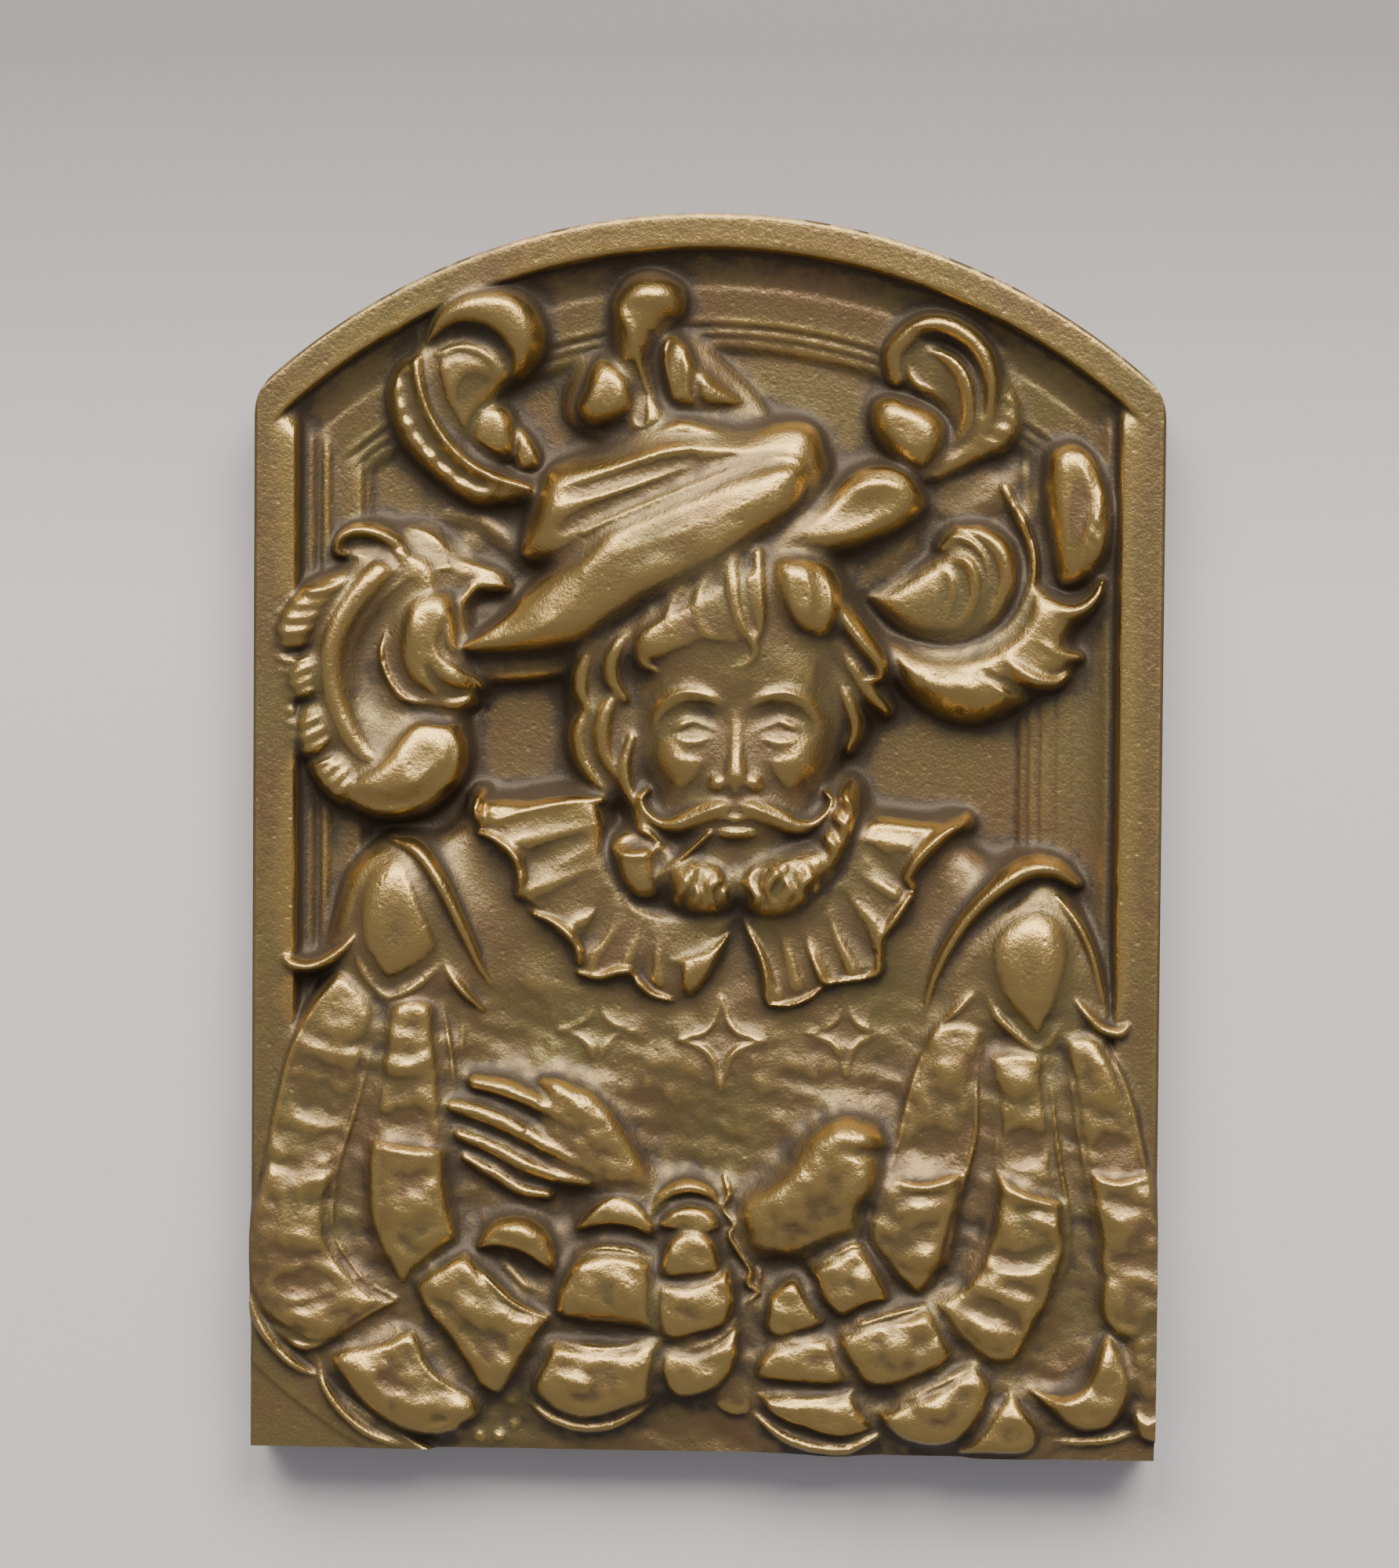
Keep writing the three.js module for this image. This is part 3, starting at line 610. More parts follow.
function costume(relief) {
  // the body under everything
  relief.slab([[-90, 140], [-84, 150], [-76, 154], [-66, 158], [-58, 163], [-45, 160], [-20, 150], [0, 140],
    [20, 150], [40, 158], [56, 160], [62, 160], [74, 151], [90, 150], [96, 140], [101, 120], [112, 90],
    [117, 60], [118, -3], [60, -8], [0, -8], [-60, -8], [-112, -8], [-116, 50], [-110, 90], [-102, 112],
    [-96, 125]], 15, 7, 8, 1.5);
  relief.bump(5, 92, 62, 40, 2.6);
  relief.bump(-10, 78, 22, 16, -1.6);
  relief.bump(0, 100, 30, 10, 0.8);
  relief.line([[-55, 118, 5, -0.6], [-45, 108, 6, -1.4], [-52, 98, 6, -1.4], [-58, 92, 5, -0.6]]);
  relief.line([[50, 118, 4, -0.6], [47, 106, 5, -1.4], [46, 92, 5, -1.6], [45, 82, 4, -0.6]]);
  relief.bump(-40, 120, 9, 12, 1.0, 40);
  relief.bump(45, 128, 9, 10, 1.0, -40);
  relief.bump(-62, 140, 8, 16, 1.6, 25);
  relief.bump(66, 146, 7, 12, 1.2, -30);
  const star = (x, z, radius, rise) => {
    const tips = [[x, z + radius], [x + radius, z], [x, z - radius * 1.12], [x - radius, z]];
    const waists = [[x + radius * 0.29, z + radius * 0.27], [x + radius * 0.29, z - radius * 0.3],
      [x - radius * 0.29, z - radius * 0.3], [x - radius * 0.29, z + radius * 0.27]];
    for (let index = 0; index < 4; index += 1) {
      const [tip, waist, nextTip] = [tips[index], waists[index], tips[(index + 1) % 4]];
      // stars
      relief.line([[tip[0], tip[1], 0.7, rise * 0.5], [waist[0], waist[1], 1.0, rise],
        [nextTip[0], nextTip[1], 0.7, rise * 0.5]]);
    }
    relief.bump(x, z, radius * 0.42, radius * 0.42, -rise * 1.1);
  };
  star(4.6, 105.5, 10.6, 1.3);
  star(-27, 107.5, 9.5, 0.7);
  star(36, 107.5, 9.5, 0.8);
  // shoulders: a full round under each petal-shaped cap with its bead, between rolled seams
  relief.slab([[-90, 150], [-80, 156], [-70, 153], [-62, 141], [-55, 125], [-54, 115], [-64, 114],
    [-80, 110], [-90, 118], [-97, 124], [-95, 138]], 17.4, 6, 9, 1.6, [0, 0], 2.0);
  relief.slab([[84, 148], [93, 143], [99, 131], [104, 112], [97, 107], [84, 99], [72, 106], [58, 109],
    [58, 120], [64, 134], [74, 143]], 17.8, 6, 9, 1.8, [0, 0], 2.0);
  relief.slab([[-80, 154.6], [-87, 149.6], [-91, 141], [-92, 131], [-90, 123.6], [-85.6, 117.2],
    [-80.4, 113.6], [-74, 116], [-68.2, 120.6], [-63, 128], [-63.6, 138], [-67, 147], [-72.6, 153.4]], 20,
    9, 9, 3.2, [0, 0], 1.2);
  relief.line([[-88.4, 130, 1.2, 0.5], [-87.4, 124, 1.5, 1.8], [-84.4, 118.4, 1.6, 2.2],
    [-80.2, 115, 1.6, 2.4], [-74, 117.6, 1.6, 2.2], [-67.6, 123, 1.3, 0.8]]);
  relief.line([[-85.6, 126, 1.6, -0.6], [-80.4, 119, 2, -1.6], [-71.4, 123.6, 1.6, -0.6]]);
  relief.limb([[-79.4, 155.2, 1.4, 17], [-73, 152.6, 3, 21.4], [-68, 146.4, 3.4, 23], [-64, 139, 3.2, 22.8],
    [-60, 130.4, 2.8, 21.6], [-57, 123.6, 2.2, 19.6], [-54, 118.6, 1.3, 17]], 12, 1.8, 0.6);
  relief.line([[-74, 147, 1.6, -0.5], [-70, 139, 2, -1.6], [-66.4, 130, 1.8, -1.6],
    [-65.4, 123, 1.4, -0.7]]);
  relief.limb([[-86.4, 134, 1.6, 19], [-91.2, 128, 2.4, 21.6], [-96.6, 124.2, 2.4, 22],
    [-101, 123, 2.4, 22], [-104.6, 123.6, 2.7, 21.6], [-106.6, 125.2, 1.5, 20.5]], 11, 1.4, 0.6);
  relief.limb([[-67, 127, 1.3, 18], [-64.4, 121.4, 2.1, 20.2], [-60.4, 116.4, 2.2, 20.2],
    [-56.2, 112.4, 1.3, 18]], 12, 1.4, 0.6);
  relief.limb([[94, 146, 1.8, 19], [88, 149.6, 3.4, 22.5], [81, 149.2, 3.8, 23.6], [74, 144.6, 3.8, 23.6],
    [67.4, 138, 3.5, 23], [62, 130, 3, 21.6], [58, 121, 2.4, 19.6], [56, 112, 1.4, 17]], 11, 1.8, 0.6);
  relief.slab([[84, 143], [92.4, 138.4], [96, 128], [94.6, 119.6], [92.4, 112.6], [88.8, 105.6],
    [84.2, 101], [78.6, 105.4], [73, 112.6], [69.4, 121], [68.4, 130], [73.4, 138.4]], 21, 9, 10, 3.2,
    [0, 0], 1.2);
  relief.line([[71.4, 118.6, 1.2, 0.5], [74.4, 112.6, 1.6, 2.0], [79.6, 107, 1.7, 2.4],
    [84.4, 103.4, 1.6, 2.0], [88.2, 107, 1.4, 1.2], [91.6, 114.4, 1.3, 0.5]]);
  relief.line([[75.4, 117, 1.4, -0.6], [79.6, 111.4, 1.8, -1.5], [84.6, 107.4, 1.6, -1.2],
    [88, 112, 1.4, -0.4]]);
  relief.line([[64.4, 126, 1.8, -0.8], [69.4, 134.4, 2.2, -2.0], [76, 141.2, 2.2, -2.0],
    [84, 145.2, 1.6, -0.8]]);
  relief.limb([[71, 121.6, 1.3, 18], [66.6, 116.4, 2.2, 20.6], [62.2, 112, 2.1, 20.2],
    [58.2, 109.2, 1.2, 18]], 11, 1.4, 0.6);
  relief.limb([[91, 121, 1.4, 19], [96, 114, 2.3, 21.6], [100.6, 109.6, 2.4, 22], [105, 108.6, 2.6, 21.6],
    [107.2, 110.4, 1.4, 20.4]], 11, 1.4, 0.6);
  relief.limb([[89, 142.6, 1.4, 18], [94, 136, 2.2, 20], [97.6, 128.6, 2.2, 20], [100, 120, 2.0, 19.2],
    [101.6, 112.6, 1.4, 17.8]], 11, 1.6, 0.6);
  relief.bump(78, 141.5, 5.5, 1.6, -3.0, 42);
}

function ruff(relief) {
  // ground of the collar, then fold by fold
  relief.slab([[-58, 165.6], [-57, 159], [-56, 156.4], [-50, 153], [-47.6, 149], [-47.6, 142], [-45.6, 138],
    [-40, 135], [-34, 131.4], [-32.6, 124], [-30, 120.6], [-25, 119.4], [-18, 121], [-12, 116], [-4, 114.6],
    [0, 119], [4, 127], [8, 134.6], [11, 134], [14.6, 126], [15.4, 118], [16.6, 113.6], [23, 114],
    [28.4, 117], [33, 119.8], [41, 121], [45, 124], [45, 130], [49, 136], [53.6, 143.6], [51.6, 146],
    [56, 152], [65, 160.4], [54, 162], [40, 162], [34, 148], [20, 140], [0, 138], [-16, 140], [-24, 150],
    [-26, 166], [-35, 167], [-46, 166.4]], 19.4, 3, 10, 1.2, [0, 0], 0.8);
  for (const points of [
    [[-27, 160, 2, 19.4], [-35, 158, 4, 20.4], [-43, 156, 5.4, 21.4], [-50, 154.6, 4, 22]],
    [[-26, 150, 2, 19], [-32, 147.4, 3.6, 20.4], [-39, 144.6, 4.6, 21.4], [-45, 142.6, 3.6, 21.6]],
    [[-22, 141, 1.6, 19], [-27, 137.6, 3, 20.6], [-32, 135, 4.2, 21.8], [-36, 133.4, 3, 22]],
    [[-20, 136, 1.6, 19], [-24.4, 131, 3.4, 20.4], [-27.4, 126.4, 4, 21], [-28.4, 122.6, 2.6, 21]],
    [[-15, 136, 1.6, 19], [-17.6, 130, 3, 20.4], [-19.4, 125.4, 3.4, 21.4]],
    [[-9.6, 134, 1.6, 19], [-11.6, 127, 3.2, 20.6], [-11.6, 120.6, 4, 21.4]],
    [[10.4, 136, 1.2, 19.4], [13.6, 129, 2.2, 21.2], [16.6, 122, 2.8, 21.8], [19, 116.6, 2.6, 21.6]],
    [[18.4, 136, 1.6, 19], [21.4, 128, 2.8, 20.6], [23.6, 120, 3.4, 21.2]],
    [[25, 136, 1.4, 19], [27.6, 129, 2.6, 21], [30.6, 122.6, 2.8, 22]],
    [[32, 137, 1.6, 19], [34.6, 130, 3.2, 20.8], [37.6, 123.6, 3.4, 21.2]],
    [[34, 145, 1.8, 19], [38.6, 140, 3.4, 20.6], [43.4, 135, 4.4, 22], [44, 130, 3, 21.6]],
    [[37, 150, 2, 19], [42, 146.6, 3.6, 20.6], [48, 143, 3.6, 21.8]],
    [[38, 157.6, 2, 19.4], [44, 156, 4, 20.8], [51, 155, 4, 21.8]],
  ]) {
    // broad pleats: cones that open outwards
    relief.limb(points, 14, 2.2, 0.8);
  }
  for (const points of [
    [[-26, 166, 1.2, 19], [-35, 165, 2.2, 20.6], [-45, 163, 2.4, 21], [-53, 160.6, 2.0, 21]],
    [[-57.4, 166, 1.4, 19.4], [-57.6, 163, 2.2, 21.8], [-56.4, 159.6, 1.4, 20.2]],
    [[-57.4, 157.6, 1.2, 20], [-53.6, 156.4, 1.8, 22.2], [-49.2, 153.4, 2.2, 23.6], [-46.6, 149.4, 2.4, 24],
      [-46.2, 145, 2.0, 23], [-47.2, 141.6, 1.3, 20.6]],
    [[-43.4, 137.2, 1.3, 20.4], [-38.4, 135.4, 1.8, 22.6], [-34.4, 132.6, 2.3, 24], [-31.6, 129, 2.3, 23.8],
      [-31.4, 125, 1.6, 21.8]],
    [[-31.8, 122.4, 1.4, 20.6], [-26.6, 121.4, 1.9, 22], [-21.6, 122.8, 2.1, 23], [-18, 122.6, 2.1, 23.2],
      [-15.8, 119.6, 1.9, 22.6], [-12.6, 117, 1.7, 22], [-8, 115.6, 1.3, 21]],
    [[10.6, 134.4, 0.9, 19.6], [14, 128.6, 1.4, 22.2], [15.8, 122.6, 1.7, 23], [16.2, 117, 1.6, 22.6],
      [17, 114.6, 1.2, 21.6]],
    [[17.4, 114.8, 1.1, 21.6], [22, 114.8, 1.3, 22], [27, 116.8, 1.3, 21.8], [30, 119.2, 1.1, 21]],
    [[24.8, 134, 0.9, 19.6], [27, 128.4, 1.4, 22.2], [29.2, 123.4, 2.0, 23.6], [30.8, 120.8, 1.8, 23.2],
      [34, 121, 1.5, 22.2], [40, 121.6, 1.3, 21.2]],
    [[41, 121.8, 1.2, 20.8], [44, 123.4, 1.7, 22], [44.4, 127.4, 1.6, 22], [44.4, 131.4, 1.6, 22.4],
      [48, 136.6, 2.2, 23.2], [52, 142.6, 1.7, 22]],
    [[53, 144.4, 1.3, 20.4], [51.4, 147.4, 2.4, 22.8], [53.4, 151.4, 2.8, 24], [57.6, 156, 2.6, 23.8],
      [61.6, 159.2, 2.0, 22.4], [65, 160.6, 1.2, 20]],
  ]) {
    // the rolled outer edge, crest by crest
    relief.limb(points, 15, 0.9, 0.7);
  }
  for (const points of [
    [[-46, 148.4, 1.6, -1.2], [-42, 150.6, 3, -3.0], [-37, 153.4, 2.6, -1.8], [-31, 156, 2, -0.6]],
    [[-33.4, 129, 1.2, -0.6], [-28.4, 131.4, 2.4, -2.6], [-26, 136, 2.2, -1.8], [-24, 142, 1.6, -0.6]],
    [[-20.4, 121, 1.1, -0.6], [-15.2, 123, 2.0, -2.8], [-14.2, 127.4, 1.5, -1.4], [-15, 134, 1.2, -0.4]],
    [[-15, 121.6, 1, -1.4], [-12, 118.4, 0.9, -1]],
    [[19, 120, 1.3, -0.8], [18.6, 126, 1.7, -1.6], [17, 134, 1.4, -0.8]],
    [[26.4, 120.4, 1.1, -0.8], [25, 127, 1.4, -1.3], [23, 134, 1.2, -0.5]],
    [[34.4, 123, 1.2, -1.4], [32.4, 128, 1.6, -1.2], [30, 136, 1.4, -0.5]],
    [[40.8, 127.4, 2.2, -2.0], [37.4, 134, 3.0, -2.4], [34, 142, 2.4, -1.2]],
    [[50.6, 144.6, 1.1, -0.6], [46.4, 148.6, 2, -1.8], [42, 154, 1.8, -1.2]],
  ]) {
    relief.line(points);
  }
  relief.bump(-56.4, 163.4, 1.5, 1.5, -3.0);
  relief.slab([[-8, 126.4], [-3, 127.6], [2, 129.4], [7, 133.6], [4.6, 126], [1.4, 120], [-3, 115.6],
    [-5.4, 118], [-7.4, 122]], 22.6, 3.0, 15, 0.9, [0.1, 0.06], 0.6);
  relief.line([[-8, 125.6, 1, 0.8], [-2, 127, 1.3, 1.5], [3, 129.4, 1.2, 1.2], [6.4, 132.6, 0.8, 0.4]]);
  relief.line([[-4, 126, 0.9, 0.3], [-4.4, 120.6, 1.3, 1.5], [-3.6, 116.4, 1, 1.0]]);
  relief.bump(-5.6, 122.6, 1.4, 2.6, -1.2, 10);
}

function leftSleeve(relief) {
  // the arms' round mass under all the bands
  relief.slab([[-106, 108], [-94, 117], [-80, 113], [-66, 113], [-62, 92], [-60, 58], [-52, 54], [-45, 60],
    [-34, 56], [-20, 64], [-8, 62], [4, 62], [10, 44], [18, 42], [27, 47], [38, 54], [46, 50], [56, 44],
    [64, 52], [62, 84], [66, 102], [84, 103], [98, 106], [108, 92], [113, 60], [114, 30], [110, 10],
    [84, 2], [60, 3], [38, 5], [14, 10], [0, 15], [-14, 11], [-30, 9], [-52, 10], [-70, 4], [-88, 10],
    [-104, 24], [-113, 42], [-114, 60], [-111, 86]], 17.6, 5, 12, 1.4, [0, 0], 1.6);
  // left sleeve, outer panel: upper and lower puff, then its welts
  relief.slab([[-91.8, 122.7], [-98.5, 117.5], [-104.6, 108.3], [-107.7, 100.2], [-110.3, 90.2],
    [-112.3, 80.1], [-112.6, 71.6], [-104.1, 67.3], [-92.5, 69.5], [-89.3, 79.8], [-85.9, 91.8],
    [-83.7, 103.9], [-82.4, 113.3]], 19.6, 3.2, 12, 1.8, [0.02, 0], 1.2);
  relief.slab([[-111.2, 74.7], [-101.9, 72.7], [-92, 72.4], [-93.9, 62], [-92.9, 53.2], [-88.5, 47],
    [-83.6, 42.1], [-76.3, 38.4], [-83.6, 34.4], [-89.6, 29.8], [-97, 25.3], [-108.4, 30.4], [-115.2, 37.7],
    [-117.7, 50], [-116.3, 60.2], [-113.7, 68.2]], 21.4, 3.2, 12, 2.5, [0.02, 0], 1.2);
  relief.bump(-91, 107, 8, 8, 0.9, 20);
  relief.bump(-98, 89, 10, 6, -1.6, -30);
  relief.line([[-103, 105, 2.4, 0.3], [-97, 101.6, 2.6, 1.2], [-90, 99.6, 2.6, 1.2], [-85, 101, 2, 0.4]]);
  relief.bump(-97, 70, 9, 6, 1.2, 30);
  relief.bump(-103, 56, 9, 8, 1.2, 20);
  relief.bump(-101, 43, 9, 4.4, -1.8, 10);
  relief.bump(-95, 31, 10, 3.4, 1.0, 25);
  relief.line([[-108, 80, 2.6, -0.5], [-101, 76, 3, -1.5], [-93, 79, 2.4, -0.7]]);
  relief.line([[-107, 34, 2, 0.3], [-100, 33.6, 2.6, 1.2], [-92, 37, 2, 0.4]]);
  relief.slab([[-110.6, 84], [-100, 82], [-88.6, 83], [-91, 66], [-102, 64], [-113, 66]], 19.6, 4, 12, 1.8,
    [0, 0], 2.4);
  // inner panel
  relief.slab([[-79.9, 115.3], [-82.4, 104.1], [-83.6, 95], [-84, 85.8], [-76.1, 81.6], [-65.6, 83.3],
    [-65.2, 95], [-66.6, 105.1], [-68.3, 115.4]], 20, 3.2, 12, 2.3, [0, 0], 1.2);
  relief.slab([[-85.1, 80.5], [-74.9, 80.3], [-64.5, 78.5], [-63.3, 70.1], [-62.3, 62.1], [-60.5, 53.9],
    [-64.6, 50.5], [-70.5, 45.5], [-76, 40.3], [-80.2, 45.6], [-84, 52.7], [-86.3, 59.9], [-86.7, 68]], 22,
    3.6, 12, 2.8, [0, 0], 1.2);
  relief.slab([[-83.6, 92], [-74, 93], [-65, 92], [-64, 72], [-74, 70], [-86, 73]], 19.6, 4, 12, 2.0,
    [0, 0], 2.4);
  relief.line([[-81.6, 99, 2, 0.4], [-75, 98, 2.8, 1.3], [-67.4, 101.4, 2, 0.6]]);
  relief.bump(-75, 84.6, 8.4, 4.2, -1.4, 8);
  relief.bump(-75, 74, 8, 5, 1.2);
  relief.bump(-74, 62, 8, 6, 1.2);
  relief.bump(-78, 53, 3, 6, 0.8, 30);
  relief.line([[-84, 77.6, 1.5, 0.4], [-75, 77.4, 1.8, 1.2], [-65.6, 76, 1.5, 0.6]]);
  // welts along the slit
  relief.limb([[-93, 120, 1, 19.4], [-99.6, 111, 1.4, 21.2], [-104.6, 101, 1.4, 21.4],
    [-107.4, 90, 1.3, 21.4], [-109.6, 79, 1.2, 21]], 15, 1.3);
  relief.limb([[-82.6, 113, 1, 18.4], [-84.6, 101, 1.2, 20.8], [-87.4, 90, 1.3, 21.4],
    [-90.4, 80, 1.3, 21.6], [-93, 70, 1.3, 21.8], [-94, 60, 1.3, 21.8], [-93, 54, 1.2, 21.6],
    [-89, 47.4, 1.2, 21.6], [-84, 42, 1.2, 21.4], [-77.4, 38.8, 1.1, 21]], 14, 1.2);
  relief.limb([[-79.4, 114, 0.9, 18], [-81.8, 102, 1.1, 20], [-83.2, 90, 1.1, 20.4], [-84.6, 78, 1.1, 20.6],
    [-85.4, 66, 1.1, 20.8], [-83.4, 54, 1.1, 20.8], [-77.6, 42.6, 1, 20.6]], 14, 1.2);
  relief.limb([[-66.6, 114, 0.9, 18], [-64.8, 105, 1.4, 19.6], [-63.6, 96, 1.4, 19.4],
    [-64, 88, 1.1, 18.4]], 13, 1.2);
  relief.limb([[-61.6, 113, 0.9, 17], [-61.4, 105, 1.2, 18], [-62, 98, 1, 17]], 13, 1.2);
  relief.limb([[-88.6, 66, 1.2, 16.6], [-88, 58, 2.2, 17.6], [-84.6, 50, 2.2, 17.6], [-80, 43.6, 1.4, 17]],
    12, 1.4);
  // folds below the cuff
  relief.limb([[-116.5, 43, 1.6, 20], [-113, 33, 2.4, 22.2], [-108.2, 25.6, 2.4, 22.2],
    [-103, 21, 2.2, 21.6], [-98, 18.6, 1.3, 20]], 13, 1.3);
  relief.limb([[-108, 30.6, 1.4, 20.4], [-102, 26.6, 2, 22], [-97, 27.2, 2, 22.4], [-91, 31, 2, 22.6],
    [-84.6, 35, 1.9, 22.2], [-77.6, 38.4, 1.3, 21]], 15, 1.6);
  // cuff bands on the left
  relief.slab([[-58.8, 51.7], [-52.1, 44.3], [-45.8, 38.4], [-37, 35], [-39.8, 29.8], [-43.4, 23.3],
    [-47.4, 16.6], [-51, 13.7], [-56.9, 16.1], [-61.6, 23.6], [-67.6, 31.6], [-72, 37.1], [-73.6, 43.3],
    [-66.7, 49]], 23.4, 3.2, 13, 2.8, [0.03, 0.05], 1.0);
  relief.limb([[-60, 50.6, 1.2, 22.4], [-53.6, 44.2, 1.8, 25.2], [-46.6, 38, 1.8, 25.4],
    [-38.6, 34.6, 1.2, 23.5]], 17, 1.6);
  relief.bump(-58, 37, 6, 4, 1.2, -40);
  relief.bump(-52, 29, 5, 4, -1.2, -40);
  relief.bump(-49, 22, 4, 3, 1.0);
  relief.slab([[-95.7, 23.5], [-90.1, 14.6], [-83.4, 8], [-76.2, 3.9], [-68, 2.7], [-62.1, 4.4], [-55, 9.3],
    [-56.9, 15.5], [-64.1, 18.9], [-67.4, 24.3], [-72.3, 33], [-79.2, 30.3], [-85.1, 28.7], [-91.3, 27.6]],
    21.8, 3.6, 13, 3, [0, 0], 1.2);
  relief.limb([[-78, 32, 1.2, 20.6], [-71.6, 24, 1.9, 23.6], [-66, 17.8, 1.9, 23.8], [-58, 14, 1.2, 22]],
    16, 1.6);
  relief.bump(-84, 19, 7, 4, 1.2, -40);
  relief.bump(-72, 12, 8, 5, 1.0, -10);
  relief.bump(-78, 19, 5, 4, -1.1, 20);
  relief.bump(-66, 8, 5, 3, -0.8);
  relief.limb([[-98, 24, 1.3, 19], [-95.6, 15.6, 2.1, 21.4], [-90.4, 8.6, 2.2, 21.6], [-84, 3.8, 2.1, 21],
    [-77, 1, 1.3, 19.4]], 13, 1.4);
  for (const [x, z, radius] of [
    [-62, 4.6, 3],
    [-56.6, 3.4, 2.8],
    [-53, 8.6, 3.2],
    [-48.4, 12.6, 3],
    [-47.6, 6.2, 2.8],
    [-51.4, 3.2, 2.4],
    [-44, 16, 2.4],
  ]) {
    relief.bump(x, z, radius, radius * 0.8, 1.7, x * 7);
  }
  // the knot of bands in the middle
  relief.slab([[-58, 50.8], [-56, 57], [-51, 61.2], [-44, 61.6], [-38.4, 58], [-35.4, 51.6], [-35.4, 43.6],
    [-39.6, 46.4], [-45.6, 50], [-52, 51.4]], 24.4, 4.4, 14, 2.0, [0, 0], 1.2);
  relief.line([[-57, 52.6, 1.1, 0.4], [-51.4, 53.4, 1.3, 1.2], [-45, 52, 1.3, 1.4], [-40, 48.6, 1.3, 1.4],
    [-36.6, 45, 1.0, 0.6]]);
  relief.limb([[-52, 48.4, 1.4, 18], [-48.6, 46.6, 2.4, 21.4], [-44.6, 42.6, 2.4, 21.6],
    [-39.6, 40.2, 1.4, 19]], 14, 1.2);
  relief.bump(-45, 56, 5, 3.4, 0.8, -30);
  relief.slab([[-32.3, 56.1], [-29.3, 62.9], [-22.1, 67.6], [-15.1, 65.2], [-10.4, 58.5], [-12.1, 54.6],
    [-17.1, 56.6], [-24, 57.4]], 23.5, 2.4, 13, 1.6, [0, 0], 1.2);
  relief.slab([[-32.2, 51.4], [-26.1, 53.6], [-17.9, 53.2], [-11.7, 51.3], [-10.2, 44], [-10.4, 38.1],
    [-8.6, 30.9], [-15.1, 31.4], [-22.1, 33.4], [-30, 33.4], [-37.3, 34.5], [-37.4, 42.1], [-34.8, 47.8]],
    24.6, 3.5, 13, 3.4, [0, 0], 1.0);
  relief.limb([[-31, 51, 1, 23], [-25, 52.8, 1.4, 25], [-18, 52.4, 1.4, 25.2], [-12.6, 50.6, 1, 23.6]], 17,
    1.4);
  relief.limb([[-36.6, 36.4, 1, 22], [-29, 35.2, 1.5, 24.8], [-21, 34.8, 1.5, 25.2], [-14, 33.2, 1.4, 24.4],
    [-9.4, 31.6, 1, 22]], 17, 1.4);
  relief.bump(-19, 42, 4, 6, 1.0, 10);
  relief.slab([[-38.1, 30.1], [-28, 29.1], [-20.1, 29.1], [-8.8, 31.5], [-8.9, 24.9], [-10.5, 18.9],
    [-11.5, 13.3], [-17.8, 10.7], [-24.9, 8.3], [-32.1, 8.1], [-39, 11.2], [-43.9, 16.2], [-42.3, 22.2],
    [-40.2, 26.3]], 23.6, 3.5, 13, 3.2, [0, 0], 1.0);
  relief.limb([[-37.6, 29, 1.2, 22], [-28, 27.6, 1.6, 25], [-20, 27.6, 1.6, 25.2], [-10, 30, 1.1, 23]], 17,
    1.4);
  relief.bump(-31, 19, 5, 4, 1.0, -10);
  relief.bump(-18, 20, 5, 5, 0.7);
  relief.bump(-24, 17, 4, 3, -0.7);
  relief.limb([[-44, 13, 1.3, 19], [-37.6, 8.8, 2.2, 21.2], [-30, 6.6, 2.4, 21.8], [-22, 7.6, 2.4, 21.8],
    [-15, 11.4, 2, 21], [-10.4, 16, 1.2, 19]], 13, 1.4);
  relief.limb([[-14, 60, 1.3, 21], [-10, 65.6, 2.4, 23.4], [-4, 68.4, 2.7, 24.2], [1.4, 67.2, 2.2, 23.6],
    [4.6, 63.6, 1.2, 21.4]], 15, 1.3);
  relief.slab([[-11.8, 58.2], [-8.3, 63.2], [-2, 65.2], [3.3, 63.1], [5.6, 58.3], [1.1, 55.6], [-5.1, 56]],
    24.4, 2.1, 14, 1.4, [0, 0], 1.2);
  relief.slab([[-10.7, 45.3], [-10.4, 52.7], [-7.1, 57.8], [-1.8, 59.4], [3.3, 57.3], [5.8, 51.5],
    [5.5, 46.9], [-2, 44.8]], 25.2, 2.6, 14, 2.3, [0, 0], 1.0);
  relief.slab([[-11.7, 45.3], [-4.1, 45.8], [1.9, 47], [7.2, 49.4], [9.4, 44.1], [9.6, 37.9], [7.1, 32.6],
    [0.1, 30.2], [-5, 28.8], [-10.3, 29.5], [-12.2, 36]], 24.8, 2.9, 14, 2.8, [0, 0], 1.0);
  relief.slab([[-10.2, 30.6], [-0.2, 32.2], [8, 38], [11.2, 33], [7.7, 27.8], [0.1, 25.2], [-9.2, 25.6]],
    20.5, 1.6, 13, 0.7, [0, 0], 1.2);
  relief.slab([[-10.5, 27.9], [-2.1, 28.2], [5, 30.8], [10.1, 35.9], [10.8, 25.9], [7.7, 18.7], [0.7, 14.6],
    [-6.8, 14.4], [-11.2, 20.5]], 23.2, 2.7, 13, 2.5, [0, 0], 1.0);
  relief.limb([[-9.8, 27.8, 1, 21.6], [-2, 27.4, 1.4, 24], [5, 30.2, 1.4, 24.4], [9.2, 35, 0.9, 22.8]], 16,
    1.4);
